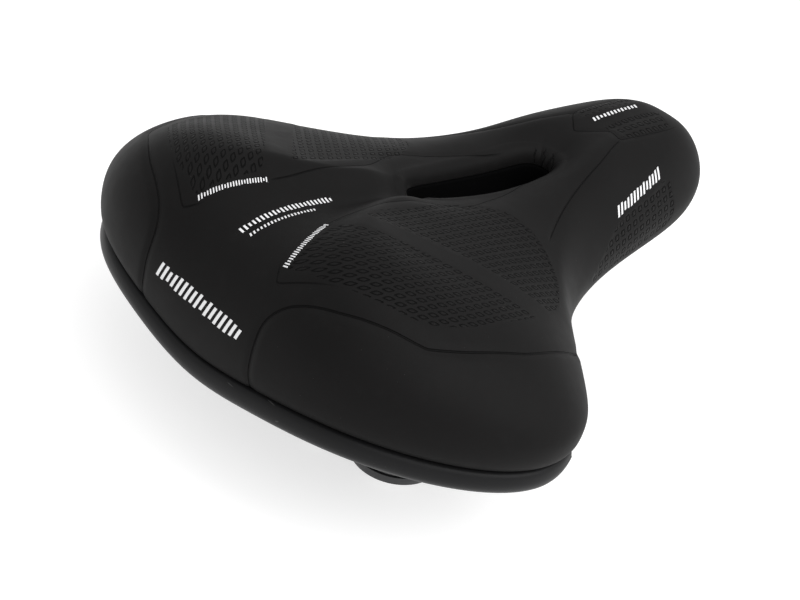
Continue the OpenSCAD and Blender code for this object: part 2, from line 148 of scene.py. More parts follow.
class SaddleStageSizes(bpy.types.PropertyGroup):
    azimuth: amount("Azimuth", "Camera's angle around the saddle, degrees", 38.88, -180, 180)
    elevation: amount("Elevation", "Camera's angle above the floor, degrees", 34.22, -90, 90)
    roll: amount("Roll", "Camera's turn about its own line of sight, degrees", 13.21, -45, 45)
    distance: length("Distance", "Camera to target", 688.3, 300, 2000)
    lens: amount("Lens", "Focal length in mm", 77.46, 20, 200)
    aim: FloatVectorProperty(name="Target", description="Point the camera looks at", size=3,
                             default=(-0.0088, -0.0023, 0.0144), subtype="XYZ", unit="LENGTH")
    key: amount("Key light", "Power of the soft light beside the nose, W", 8.5, 0, 200)
    fill: amount("Fill light", "Power of the soft lights beside the camera and overhead, W", 2.4, 0, 200)
    sky: amount("Room light", "Strength of the even white room", 0.8, 0, 3)
    floor: tint("Floor", "Pale floor", (0.52, 0.52, 0.52))
    glow: amount("Floor glow", "Light given off by the floor, which keeps its shadow faint", 0.66)


# ---------------------------------------------------------------- the saddle's own form, in mm

OUTLINE = np.array([[0, -121], [31, -120], [65, -114], [93, -90], [113, -54], [106, -19], [62, 5],
                    [44, 45], [37, 96], [31, 138], [0, 153]], float)
SLOT = np.array([[0, -19], [4, -19], [7, -16.5], [8, -12], [8.5, 2], [9, 18], [8.5, 34], [8, 44],
                 [7, 53], [4, 57.5], [0, 59]], float)
EDGE_Z = np.array([38, 44, 47, 41, 34, 32, 32, 34, 37, 41, 42], float)
SIDE_H = np.array([11, 10, 10, 9, 9, 9, 10, 10, 10, 10, 10], float)
ROUND = np.array([72, 66, 52, 48, 45, 40, 22, 18, 18, 24, 34], float)
TUCK = np.array([2, 2, 3, 4, 4, 4, 5, 6, 6, 6, 6], float)
DIP = np.array([3, 2.5, 0.5, 0, 0, 0, 0, 0, 0, 0, 0], float)
SLOT_EDGE = 6.0
STATION_Y = -138.0
TOP_Z = np.array([102, 94, 80, 79, 70, 74, 79, 74], float)
RISE = np.array([2, 9, 9, 3, 5, 3, 0, 0], float)
CREST = np.array([41, 50, 12, 8, 12, 22, 10, 10], float)
CROWN = np.array([4, 4.5, 2, 3, 8, 18, 20, 20]) / 1000
PAN_Z = np.array([58, 57, 55, 52, 50, 49, 49, 49], float)
SLOT_DROP = 8.7
SLOT_WALL = 0.6
CURL = 10.0
VALLEY = 4.0
SHELL_T = 3.0


def weights(u):
    """Four cubic smoothing weights at u from 0 to 1."""
    return ((1 - u) ** 3 / 6, (3 * u ** 3 - 6 * u * u + 4) / 6,
            (-3 * u ** 3 + 3 * u * u + 3 * u + 1) / 6, u ** 3 / 6)


def around(half, t):
    """Closed smooth curve of 20 steps from its half list: 0 is the rear middle, 10 the nose."""
    mirror = half[1:-1][::-1].copy()
    if half.ndim == 2:
        mirror[:, 0] *= -1
    full = np.concatenate([half, mirror])
    i = np.floor(t).astype(int)
    w = weights(t - i)
    if half.ndim == 2:
        w = [k[..., None] for k in w]
    return sum(w[k] * full[(i + k - 1) % 20] for k in range(4))


def along(values, y):
    """Smooth value at y from stations 40 mm apart."""
    u = np.clip((y - STATION_Y) / 40, 0, 6.999)
    i = np.floor(u).astype(int)
    w = weights(u - i)
    return sum(w[k] * values[np.clip(i + k - 1, 0, 7)] for k in range(4))


def smooth(x):
    """Soft step from 0 to 1: three x squared less two x cubed."""
    k = np.clip(x, 0, 1)
    return k * k * (3 - 2 * k)


def top_height(x, y):
    """Padded top: station height, plus a soft rise to the crest, less a crown that grows as the
    square of the distance past half the crest."""
    x = np.abs(x)
    c = along(CREST, y)
    return along(TOP_Z, y) + along(RISE, y) * smooth(x / c) - along(CROWN, y) * np.maximum(x - c / 2, 0) ** 2


def spokes(t):
    """Outline point, slot point, distance and unit direction between them."""
    o, c = around(OUTLINE, t), around(SLOT, t)
    gap = np.linalg.norm(o - c, axis=-1)
    return o, c, gap, (o - c) / gap[..., None]


def skin_at(t, s):
    """Skin surface: t goes round, s goes down the slot's wall (-2 to -1), round its lip (-1 to 0),
    over the top (0 to 1), round the outer edge (1 to 2), down the side (2 to 3), under (3 to 4)."""
    t, s = np.broadcast_arrays(np.asarray(t, float) % 20, np.asarray(s, float))
    o, c, gap, d = spokes(t)
    r = np.minimum(around(ROUND, t), 0.92 * (gap - SLOT_EDGE))
    low, side, tuck = around(EDGE_Z, t), around(SIDE_H, t), around(TUCK, t)
    turn = np.pi / 2 * np.clip(s - 1, 0, 1)
    v, u = np.clip(s - 2, 0, 1), np.clip(s - 3, 0, 1)
    lip, wall = np.pi / 2 * np.clip(-s, 0, 1), np.clip(-s - 1, 0, 1)
    q = np.where(s <= 1, SLOT_EDGE + (gap - r - SLOT_EDGE) * np.clip(s, 0, 1),
                 gap - r * (1 - np.sin(turn) ** 0.91))
    q = np.where(s < 0, SLOT_EDGE * (1 - np.sin(lip)), q)
    inward = tuck * (1 - np.sqrt(1 - 0.98 * v * v)) + CURL * u
    xy = np.where((s <= 2)[..., None], c + d * q[..., None], o - d * inward[..., None])
    q_top = np.where(s < 0, SLOT_EDGE, q)
    flat = c + d * q_top[..., None]
    z_top = top_height(flat[..., 0], flat[..., 1]) - (VALLEY + around(DIP, t)) * np.exp(-(q_top / 12) ** 2)
    base = low + side
    bend = np.maximum(np.cos(turn), 0) ** 0.91
    z = np.where(s <= 2, base + (z_top - base) * bend, base - side * v - 0.4 * u)
    z = np.where(s <= 1, z_top, z)
    z = np.where(s < 0, z_top - (z_top - top_height(c[..., 0], c[..., 1]) + SLOT_DROP) * (1 - np.cos(lip)) - SLOT_WALL * wall, z)
    return np.concatenate([xy, z[..., None]], -1)


def unit(v):
    """Vectors scaled to length 1."""
    return v / np.maximum(np.linalg.norm(v, axis=-1, keepdims=True), 1e-9)


def out_from(t, s):
    """Outward direction of the skin: the cross product of its two slopes."""
    k = np.clip(s, -1.97, 3.96)
    e = 0.03
    return unit(np.cross(skin_at(t, k + e) - skin_at(t, k - e), skin_at(t + e, k) - skin_at(t - e, k)))


def below(t, s, depth):
    """Point at a depth under the skin's outer face."""
    return skin_at(t, s) - np.asarray(depth)[..., None] * out_from(t, s)


def pan_at(t, f):
    """Top of the base shell: f goes from the slot (0) to the rim (1), where it drops to the edge."""
    t, f = np.broadcast_arrays(np.asarray(t, float) % 20, np.asarray(f, float))
    o, c, gap, d = spokes(t)
    q1 = gap - around(TUCK, t) - 3
    xy = c + d * (2.6 + (q1 - 2.6) * f)[..., None]
    g = smooth((f - 0.68) / 0.32)
    z = along(PAN_Z, xy[..., 1]) * (1 - g) + (around(EDGE_Z, t) + 2.2 + SHELL_T) * g
    return np.concatenate([xy, z[..., None]], -1)


def pocket_at(t, s):
    """Depth of the pockets in the foam: 7 mm in the middle of an oval, soft to its rim."""
    k = np.minimum(t, 20 - t)
    return 7 * smooth((1 - ((k - 4.1) / 1.9) ** 2 - ((s - 1.02) / 0.42) ** 2) * 1.6)


# ---------------------------------------------------------------- lines and zones on the skin, in mm

CREASE = [(48, -98), (42, -101.5), (36, -104.5), (30, -107.3), (26.5, -108.8), (25, -109), (23.5, -107.8),
          (21.5, -105.5)]
RIDGE = [(15.2, -79), (14.2, -71), (13.8, -60), (13.2, -50), (13, -41), (13.4, -33), (16, -25), (19, -17),
         (19.5, -8), (17.4, 3), (15.6, 14), (13.6, 23), (11.6, 30), (10.6, 36), (10, 42)]
WING_RINGS = [(25, -105), (30, -103.5), (38, -102), (47, -98.5), (57, -92.5), (67, -84), (72, -74),
              (75, -58), (75, -40), (73, -25), (68, -9), (62, -1), (55, 5), (44, 8.5), (35, 8), (26, 3),
              (21, -5), (18, -14), (17, -24), (17, -40), (17.5, -54), (18.5, -68), (19, -78), (20.5, -88),
              (22.5, -96), (24, -102)]
BAND = [(12, -80.5), (21, -72), (45, -49.5), (69, -26), (84, -11)]
NOSE_TOP = [(-13.4, 99), (-13.1, 91), (-12.6, 86.2), (-10.6, 82.6), (-7.4, 79.6), (-4.4, 77), (-3.2, 77.5),
            (0.4, 82.6), (4.3, 87.8), (5.8, 88.5), (8.6, 87.8), (11.1, 87.1), (12.2, 88.2), (12.9, 93),
            (13.4, 99), (13.8, 112), (13.2, 122), (9.5, 131), (4, 134.5), (-4, 134.5), (-9.5, 131),
            (-13.2, 122), (-13.8, 112)]
NOSE_GROOVE = [(12.3, 86), (14.5, 79), (18, 69), (21.3, 58), (25, 47), (29, 37), (34, 26.5), (40, 16)]
TIP_RINGS_RIGHT = [(1.6, 90), (6, 91), (12.4, 90.5), (13.1, 102), (13.3, 114), (12, 120), (6, 122.5), (1.6, 121)]
TIP_RINGS_LEFT = [(-8, 86), (-11.2, 87), (-12.4, 92), (-12.9, 104), (-12.8, 114), (-12, 119), (-8, 121)]
NOSE_SIDE_RINGS = [(101, 65), (104, 60), (104, 47), (82, 43), (46, 43), (41, 46), (51, 51.5), (62, 58),
                   (75, 61), (88, 62.5)]
SIDE_PANEL = [(0.97, 3.0), (0.94, 2.5), (0.93, 2.12), (0.93, 1.94), (0.95, 1.82), (1.02, 1.75),
              (1.15, 1.69), (1.3, 1.65), (1.5, 1.61), (1.75, 1.57), (2.0, 1.53), (2.3, 1.497),
              (2.6, 1.485), (2.7, 1.48), (2.8, 1.46), (3.03, 1.41), (3.4, 1.335), (3.75, 1.29), (4.4, 1.24), (4.95, 1.32),
              (5.4, 1.53), (5.65, 1.8), (5.8, 2.2), (5.84, 2.6), (5.85, 3.0)]


def through(points, steps=5, closed=False):
    """Smooth line through points: a cubic between neighbours, with the slope at each point half
    the step between the points on either side of it."""
    p = np.asarray(points, float)
    if closed:
        a, b, c, d = np.roll(p, 1, 0), p, np.roll(p, -1, 0), np.roll(p, -2, 0)
    else:
        q = np.vstack([2 * p[0] - p[1], p, 2 * p[-1] - p[-2]])
        a, b, c, d = q[:-3], q[1:-2], q[2:-1], q[3:]
    u = (np.arange(steps) / steps)[:, None, None]
    line = 0.5 * (2 * b + (c - a) * u + (2 * a - 5 * b + 4 * c - d) * u * u + (3 * b - a - 3 * c + d) * u ** 3)
    line = line.transpose(1, 0, 2).reshape(-1, p.shape[1])
    return line if closed else np.vstack([line, p[-1:]])


def reach(points, line, closed=False):
    """Distance from each point to a line of straight steps."""
    ends = np.roll(line, -1, 0) if closed else line[1:]
    best = np.full(len(points), 1e9)
    for p, q in zip(line, ends):
        d = q - p
        k = np.clip((points - p) @ d / max(d @ d, 1e-9), 0, 1)
        best = np.minimum(best, np.linalg.norm(points - p - k[:, None] * d, axis=1))
    return best


def offset(points, line):
    """Signed distance to an open line: its two ends are carried on straight, and the sign is the
    side of the nearest step. Also how far each point lies past the line's own ends."""
    first = line[0] + (line[0] - line[1]) / np.linalg.norm(line[0] - line[1]) * 300
    last = line[-1] + (line[-1] - line[-2]) / np.linalg.norm(line[-1] - line[-2]) * 300
    best, side = np.full(len(points), 1e9), np.ones(len(points))
    whole = np.vstack([first, line, last])
    for i, (p, q) in enumerate(zip(whole, whole[1:])):
        d = q - p
        k = np.clip((points - p) @ d / (d @ d), 0, 1)
        gap = points - p - k[:, None] * d
        dist = np.linalg.norm(gap, axis=1)
        near = dist < best
        turn = d[0] * (points - p)[:, 1] - d[1] * (points - p)[:, 0]
        side[near] = np.where(turn[near] < 0, -1, 1)
        best = np.minimum(best, dist)
    past = np.maximum((points - line[0]) @ (first - line[0]), (points - line[-1]) @ (last - line[-1])) / 300
    return best * side, past


def within(points, zone):
    """True inside a closed zone: a ray to the side crosses its line an odd number of times."""
    x, y = points[:, 0], points[:, 1]
    odd = np.zeros(len(points), bool)
    for (x0, y0), (x1, y1) in zip(zone, np.roll(zone, -1, 0)):
        odd ^= ((y0 > y) != (y1 > y)) & (x < (x1 - x0) * (y - y0) / (y1 - y0 + 1e-12) + x0)
    return odd


def depth_in(points, zone):
    """Signed distance to a zone's line, positive inside."""
    return reach(points, zone, True) * np.where(within(points, zone), 1, -1)


def skin_fields(t, s, p):
    """Numbers that draw the skin's details, in mm: signed distances to the side panel's groove, to
    the crease lines and to the nose outline, with the fading of each; distance into the ringed
    zones; and the ring pattern's two slanted coordinates."""
    half = np.minimum(t, 20 - t)
    plan = np.stack([np.abs(p[:, 0]), p[:, 1]], 1)
    solid = np.stack([np.abs(p[:, 0]), p[:, 1], p[:, 2]], 1)
    line = through(SIDE_PANEL)
    panel = reach(solid, skin_at(line[:, 0], line[:, 1]))
    inside = within(np.stack([half, s], 1), np.vstack([line, [(5.85, 4.2), (0.97, 4.2)]]))
    panel = np.where(s < 3.02, panel, 9) * np.where(inside, 1, -1)
    top = s < 1.8
    lines, fades = [], []
    for points, start, stop in ((CREASE, 34, 46), (RIDGE, 32, 44), (NOSE_GROOVE, 88, 86)):
        gap, past = offset(plan, through(points))
        along_line = plan[:, 0] if points is CREASE else plan[:, 1]
        fade = 1 - smooth((along_line - start) / (stop - start)) if stop > start else np.ones(len(p))
        lines.append(gap)
        fades.append(fade * smooth(0.5 - past / 5) * top)
    lines, fades = np.stack(lines, 1), np.stack(fades, 1)
    tip_line = depth_in(p[:, :2], through(NOSE_TOP, closed=True))
    tip_fade = top * (1 - smooth((p[:, 1] - 108) / 22)) * smooth((p[:, 1] - 60) / 5)
    wing = depth_in(plan, through(WING_RINGS, closed=True))
    wing = np.minimum(wing, reach(plan, np.array(BAND, float)) - 5)
    tip = np.maximum(depth_in(p[:, :2], through(TIP_RINGS_RIGHT, closed=True)),
                     depth_in(p[:, :2], through(TIP_RINGS_LEFT, closed=True)))
    zone = np.where(top, np.maximum(wing, tip), -9)
    flank = depth_in(p[:, 1:], through(NOSE_SIDE_RINGS, closed=True))
    is_flank = (plan[:, 0] > 22) & (p[:, 1] > 36) & (s > 1.1) & (s < 2.95)
    zone = np.where(is_flank, np.maximum(zone, flank), zone)
    across = plan[:, 0] + 0.6 * (along(TOP_Z, p[:, 1]) - p[:, 2])
    is_tip = (p[:, 1] > 70) & ~is_flank
    a = np.where(is_tip, p[:, 1] - 0.1 * plan[:, 0], p[:, 1] - 0.72 * across)
    b = np.where(is_tip, 0.9 * plan[:, 0], 1.22 * across)
    a = np.where(is_flank, 0.92 * (p[:, 1] + 0.11 * p[:, 2]), a)
    b = np.where(is_flank, 1.14 * (p[:, 2] - 0.11 * p[:, 1]), b)
    return {"panel_mm": panel, "zone_mm": zone, "tip_mm": tip_line, "tip_fade": tip_fade,
            "fold_polar": fold_polar(p, s), "pattern_mm": np.stack([a, b, np.zeros(len(p))], 1), "lines_mm": lines, "lines_fade": fades}


def fold_polar(p, s):
    """Polar place about a point inside the slot's front end: the angle from straight ahead, the
    distance, and how strongly the folds show there."""
    dx, dy = p[:, 0], p[:, 1] - 52.0
    ang, far = np.arctan2(dx, dy), np.hypot(dx, dy)
    show = np.exp(-(np.maximum(far - 6.5, 0) / 3.2) ** 2) * np.exp(-((ang + 0.1) / 0.95) ** 4) * smooth(s + 1.6) * (s < 1)
    return np.stack([ang, far, show], 1)


# ---------------------------------------------------------------- meshes

def corners(profile, radius, steps=4):
    """Profile with each corner replaced by a short curve: the corner's two cut points and the
    corner itself steer a quadratic curve. Works on (m, 2) or on (m, n, 2) profiles."""
    p = np.asarray(profile, float)
    back, ahead = np.roll(p, 1, 0) - p, np.roll(p, -1, 0) - p
    lb = np.linalg.norm(back, axis=-1, keepdims=True)
    la = np.linalg.norm(ahead, axis=-1, keepdims=True)
    a = p + back / lb * np.minimum(radius, 0.45 * lb)
    b = p + ahead / la * np.minimum(radius, 0.45 * la)
    u = np.linspace(0, 1, steps + 1).reshape((-1,) + (1,) * p.ndim)
    curve = (1 - u) ** 2 * a + 2 * u * (1 - u) * p + u * u * b
    return np.moveaxis(curve, 0, 1).reshape((-1,) + p.shape[1:])


def shell_of(rows, wrap=False):
    """Closed shell from rows of points, each a closed loop. With wrap the last row joins the first;
    otherwise both ends close with a fan to their middle. Faces are turned to point outwards."""
    m, n = rows.shape[:2]
    i = np.arange(m if wrap else m - 1)[:, None]
    j = np.arange(n)[None, :]
    nxt, k = (j + 1) % n, (i + 1) % m
    quads = np.stack([i * n + j, i * n + nxt, k * n + nxt, k * n + j], -1).reshape(-1, 4)
    points = rows.reshape(-1, 3)
    tris = np.zeros((0, 3), int)
    if not wrap:
        points = np.vstack([points, rows[0].mean(0), rows[-1].mean(0)])
        j = np.arange(n)
        tris = np.vstack([np.stack([np.full(n, m * n), (j + 1) % n, j], 1),
                          np.stack([np.full(n, m * n + 1), (m - 1) * n + j, (m - 1) * n + (j + 1) % n], 1)])
    every = np.vstack([quads[:, :3], quads[:, [0, 2, 3]], tris])
    a, b, c = points[every[:, 0]], points[every[:, 1]], points[every[:, 2]]
    if np.sum(a * np.cross(b, c)) < 0:
        quads, tris = quads[:, ::-1], tris[:, ::-1]
    return points, quads, tris


def build(name, shells, fields=None):
    """Mesh object at the origin, in metres, from closed shells given in mm."""
    points, faces, base = [], [], 0
    for p, quads, tris in shells:
        points.append(p)
        faces += (quads + base).tolist() + (tris + base).tolist()
        base += len(p)
    mesh = bpy.data.meshes.new(name)
    mesh.from_pydata((np.vstack(points) * MM).tolist(), [], faces)
    mesh.shade_smooth()
    for key, values in (fields or {}).items():
        kind = "FLOAT_VECTOR" if values.ndim == 2 else "FLOAT"
        layer = mesh.attributes.new(key, kind, "POINT")
        layer.data.foreach_set("vector" if values.ndim == 2 else "value", values.astype(np.float32).ravel())
    mesh.update()
    obj = bpy.data.objects.new(name, mesh)
    bpy.context.scene.collection.objects.link(obj)
    return obj


def settle(obj, body, slot, material, *nodes):
    """Give a new piece its body and its finish in one material slot, and hide the CAD nodes it stands for. The slot
    argument is not used.
    """
    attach(obj, body)
    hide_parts(*nodes)
    obj.data.materials.clear()
    obj.data.materials.append(material)
    return obj


def eased(node, name, radius):
    """Merged copy of a CAD node with its sharp edges rounded by a bevel."""
    work = bmesh.new()
    work.from_mesh(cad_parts[node].data)
    bmesh.ops.remove_doubles(work, verts=work.verts, dist=2e-6)
    bmesh.ops.dissolve_limit(work, angle_limit=math.radians(1.5), verts=work.verts, edges=work.edges)
    mesh = bpy.data.meshes.new(name)
    work.to_mesh(mesh)
    work.free()
    mesh.shade_smooth()
    obj = bpy.data.objects.new(name, mesh)
    bpy.context.scene.collection.objects.link(obj)
    soft = obj.modifiers.new("Eased edges", "BEVEL")
    soft.width, soft.segments, soft.limit_method = radius, 3, "ANGLE"
    soft.angle_limit = math.radians(32)
    soft.harden_normals = True
    return obj


def turned(profile, radius, x, y, z, count=96):
    """Ring solid: a closed (radius, height) profile with eased corners, turned about a vertical axis."""
    rz = corners(profile, radius)
    a = np.arange(count) / count * 2 * np.pi
    rows = np.stack([x + rz[:, :1] * np.cos(a), y + rz[:, :1] * np.sin(a),
                     np.broadcast_to(z + rz[:, 1:], (len(rz), count))], -1)
    return shell_of(rows, wrap=True)


def headed(x, y, z, head_r, head_h, shank_r, shank_h, sides, across, sink, up=-1, count=72):
    """Screw or bolt on a vertical axis. The head's face is a shallow dome with a socket of the given
    number of sides sunk in it (0 for a cross); the shank runs the other way. The polar radius goes
    out over the face, down the head's rounded side, in under it and along the shank."""
    a = np.arange(count) / count * 2 * np.pi
    face = np.linspace(0.02, 1, 26) ** 0.8 * (head_r - 0.35)
    r = face[:, None] * np.ones(count)
    px, py = r * np.cos(a), r * np.sin(a)
    if sides:
        turn = np.arange(sides) / sides * 2 * np.pi
        gap = np.max(px[..., None] * np.cos(turn) + py[..., None] * np.sin(turn), -1) - across
    else:
        arm = np.maximum(np.abs(px) - across, np.abs(py) - across * 0.28)
        gap = np.minimum(arm, np.maximum(np.abs(py) - across, np.abs(px) - across * 0.28))
    h = head_h - 0.22 * head_h * (r / head_r) ** 2 * (0 if sides else 1.4) - sink * smooth(0.5 - gap / 0.18)
    edge = np.array([(head_r - 0.12, head_h - 0.1), (head_r, head_h - 0.35), (head_r, 0.12), (head_r - 0.1, 0),
                     (shank_r + 0.1, 0), (shank_r, -0.1), (shank_r, 0.4 - shank_h), (shank_r - 0.4, -shank_h)])
    if not sides:
        edge[:2, 1] -= 0.3 * head_h
    rr = np.vstack([r, edge[:, :1] * np.ones(count)])
    hh = np.vstack([h, edge[:, 1:] * np.ones(count)])
    rows = np.stack([x + rr * np.cos(a), y + rr * np.sin(a), z + up * hh], -1)
    return shell_of(rows)


# ---------------------------------------------------------------- finishes

class Val:
    """A number on a node's output. Arithmetic on it adds Math nodes."""

    def __init__(self, paint, socket):
        self.paint, self.socket = paint, socket

    def op(self, kind, *others):
        node = self.paint.add("ShaderNodeMath", {"operation": kind}, {0: self, **{i + 1: o for i, o in enumerate(others)}})
        return Val(self.paint, node.outputs[0])

    def __add__(self, o): return self.op("ADD", o)
    def __sub__(self, o): return self.op("SUBTRACT", o)
    def __mul__(self, o): return self.op("MULTIPLY", o)
    def __truediv__(self, o): return self.op("DIVIDE", o)
    def __neg__(self): return self.op("MULTIPLY", -1.0)
    def __rsub__(self, o): return self.op("MULTIPLY", -1.0).op("ADD", o)
    __radd__, __rmul__ = __add__, __mul__

    def size(self): return self.op("ABSOLUTE")
    def whole(self): return self.op("FLOOR")
    def least(self, o): return self.op("MINIMUM", o)
    def most(self, o): return self.op("MAXIMUM", o)
    def power(self, o): return self.op("POWER", o)

    def step(self, low, high):
        """0 below low, 1 above high, soft between; low may be the larger of the two."""
        node = self.paint.add("ShaderNodeMapRange", {"interpolation_type": "SMOOTHSTEP"},
                              {0: self, 1: min(low, high), 2: max(low, high),
                               3: 0.0 if low < high else 1.0, 4: 1.0 if low < high else 0.0})
        return Val(self.paint, node.outputs[0])


class Paint:
    """One material and its nodes."""

    def __init__(self, name):
        self.material = bpy.data.materials.new(name)
        self.material.use_nodes = True
        self.tree = self.material.node_tree
        self.tree.nodes.clear()
        self.place = self.add("ShaderNodeTexCoord").outputs["Object"]

    def add(self, kind, settings=None, values=None):
        """A node of any type: its settings first, then its sockets' values or links."""
        node = self.tree.nodes.new(kind)
        for key, value in (settings or {}).items():
            if key == "stops":
                ramp = node.color_ramp
                for i, (at, colour) in enumerate(value):
                    stop = ramp.elements[i] if i < 2 else ramp.elements.new(at)
                    stop.position, stop.color = at, (*colour, 1.0)
            else:
                setattr(node, key, value)
        for key, value in (values or {}).items():
            socket = node.inputs[key]
            if isinstance(value, Val):
                value = value.socket
            if isinstance(value, bpy.types.NodeSocket):
                self.tree.links.new(value, socket)
            else:
                socket.default_value = value
        return node

    def noise(self, scale, detail=3.0, rough=0.5, place=None, squash=None):
        """Smooth noise about 0.5; scale is in cycles per metre, squash stretches it by axis."""
        place = place or self.place
        if squash:
            place = self.add("ShaderNodeMapping", None, {"Vector": place, "Scale": squash}).outputs[0]
        node = self.add("ShaderNodeTexNoise", None, {"Vector": place, "Scale": scale, "Detail": detail,
                                                     "Roughness": rough})
        return Val(self, node.outputs[0])

    def cells(self, scale, place=None, feature="F1"):
        """Distance to scattered points, and each point's own random number."""
        node = self.add("ShaderNodeTexVoronoi", {"feature": feature}, {"Vector": place or self.place, "Scale": scale})
        number = self.add("ShaderNodeSeparateXYZ", None, {0: node.outputs["Color"]})
        return Val(self, node.outputs["Distance"]), Val(self, number.outputs[0])

    def field(self, name):
        """A number stored on the mesh's points."""
        return Val(self, self.add("ShaderNodeAttribute", {"attribute_name": name}).outputs["Fac"])

    def axes(self, name):
        """The three numbers of a vector stored on the mesh's points."""
        node = self.add("ShaderNodeAttribute", {"attribute_name": name})
        parts = self.add("ShaderNodeSeparateXYZ", None, {0: node.outputs["Vector"]})
        return [Val(self, out) for out in parts.outputs]

    def blend(self, mask, a, b):
        """Colour a where the mask is 0 and b where it is 1."""
        a, b = (c if isinstance(c, bpy.types.NodeSocket) else (*c, 1.0) for c in (a, b))
        return self.add("ShaderNodeMix", {"data_type": "RGBA"}, {0: mask, 6: a, 7: b}).outputs[2]

    def bump(self, height):
        """Normal from a height given in mm."""
        return self.add("ShaderNodeBump", None, {"Height": height, "Strength": 1.0, "Distance": MM}).outputs[0]

    def finish(self, colour, rough, height, **constants):
        """Principled surface; constants are set on its own sockets."""
        values = {"Base Color": colour, "Roughness": rough, "Normal": self.bump(height)}
        values.update({k.replace("_", " "): v for k, v in constants.items()})
        shader = self.add("ShaderNodeBsdfPrincipled", None, values)
        self.add("ShaderNodeOutputMaterial", None, {"Surface": shader.outputs[0]})
        return self.material


def scaled(colour, k):
    """Colour made lighter or darker."""
    return tuple(min(c * k, 1.0) for c in colour)


def dust(paint, scale, radius, share):
    """Mask of tiny light specks: near a scattered point whose random number is high."""
    near, number = paint.cells(scale)
    return near.step(radius * scale * MM, 0.4 * radius * scale * MM) * number.step(1 - share, 1 - share * 0.8)


def skin_finish(sizes):
    """Soft-touch moulded skin: matte, with a fine grain, the side panel's groove, crease lines and zones of small
    pressed squares drawn from distances kept on the mesh, and a little dust. The groove, crease lines, folds at the
    slot and the lines of the pressed squares are also painted near black: painted shade in these recesses."""
    p = Paint("Soft-touch skin")
    panel, zone, tip = p.field("panel_mm"), p.field("zone_mm"), p.field("tip_mm")
    pitch = sizes.ring_pitch / MM
    grid = [(g / pitch - (g / pitch).whole() - 0.5).size() * pitch for g in p.axes("pattern_mm")[:2]]
    half, line = sizes.ring_half / MM, sizes.ring_line / MM
    out = (grid[0].power(4.0) + grid[1].power(4.0)).power(0.25)
    ring = (out - half + line).size().step(line, line * 0.25)
    dome = out.step(half - line, 0.1)
    zone_mask = zone.step(0.0, 0.5)
    ring, dome = ring * zone_mask, dome * zone_mask
    groove = panel.size().step(0.55, 0.12)
    cut = tip.size().step(0.42, 0.08) * p.field("tip_fade")
    for gap, fade in zip(p.axes("lines_mm"), p.axes("lines_fade")):
        cut = cut.most(gap.size().step(0.42, 0.08) * fade)
    ang, far, show = p.axes("fold_polar")
    wander = p.noise(150, 2)
    ray = ang * 1.9 + (wander - 0.5) * 2.6 + (far * 0.8).op("SINE") * 0.2
    ray = (ray - ray.whole() - 0.5).size()
    fold = ray.step(0.07, 0.01) * (show * (0.55 + wander * 0.9)).step(0.2, 0.75)
    cut = cut.most(fold * 0.9)
    large, mid = p.noise(28, 3), p.noise(160, 4)
    grain = p.noise(2600, 2, 0.6)
    pores, _ = p.cells(1900)
    specks = dust(p, 260, 0.16, 0.10).most(dust(p, 700, 0.07, 0.12))
    base = p.blend((large - 0.3) * 1.4, scaled(sizes.colour, 0.86), scaled(sizes.colour, 1.18))
    base = p.blend(mid.step(0.5, 0.8) * 0.35, base, scaled(sizes.colour, 1.5))
    # Painted shade: the lines of the pressed squares, the panel groove, the crease lines and the folds are darkened to
    # a tenth of the skin colour.
    base = p.blend((ring * 0.9).most(groove * 0.75).most(cut * 0.85), base, scaled(sizes.colour, 0.1))
    base = p.blend(specks * 0.55, base, (0.25, 0.24, 0.23))
    rough = 0.50 + mid * 0.12 + ring * 0.12 - zone_mask * 0.03
    height = (ring * (-sizes.ring_depth / MM) + dome * (0.3 * sizes.ring_depth / MM) - groove * (sizes.panel_groove / MM) - cut * (sizes.crease / MM)
              + grain * 0.016 + pores * 0.012 + mid * 0.03 + specks * 0.03)
    return p.finish(base, rough, height, Specular_IOR_Level=sizes.shine)


def foam_finish(sizes):
    """Open-cell foam: two sizes of cells as pits, with a slight colour change between batches. The larger pits are also
    painted darker: painted shade in the pits.
    """
    p = Paint("Moulded foam")
    near, number = p.cells(1100)
    fine, _ = p.cells(2600)
    base = p.blend(p.noise(40), scaled(sizes.foam_colour, 0.9), scaled(sizes.foam_colour, 1.12))
    # Painted shade: the larger cell pits are darkened to 0.45 of the foam colour.
    base = p.blend(near.step(0.35, 0.05) * 0.6, base, scaled(sizes.foam_colour, 0.45))
    return p.finish(base, 0.85 + number * 0.1, near * 0.35 + fine * 0.12, Specular_IOR_Level=0.2)


def gel_finish(sizes):
    """Soft insert: tinted, faintly cloudy, with small trapped bubbles."""
    p = Paint("Soft insert")
    near, number = p.cells(420)
    bubble = near.step(0.2, 0.05) * number.step(0.6, 0.7)
    base = p.blend(p.noise(60), scaled(sizes.gel_colour, 0.85), scaled(sizes.gel_colour, 1.25))
    base = p.blend(bubble * 0.5, base, scaled(sizes.gel_colour, 2.2))
    return p.finish(base, 0.28 + p.noise(300) * 0.1, bubble * 0.08, Transmission_Weight=0.25)


def mark_finish(sizes):
    """Printed ink: slightly uneven coverage, thin where the skin's grain stands up."""
    p = Paint("Printed mark")
    worn = p.noise(1400, 3, 0.6).step(0.66, 0.74)
    base = p.blend(p.noise(90), scaled(sizes.mark_colour, 0.94), sizes.mark_colour)
    base = p.blend(worn * 0.35, base, (0.3, 0.3, 0.3))
    return p.finish(base, 0.55 + p.noise(500) * 0.1, p.noise(2600, 2) * 0.02)


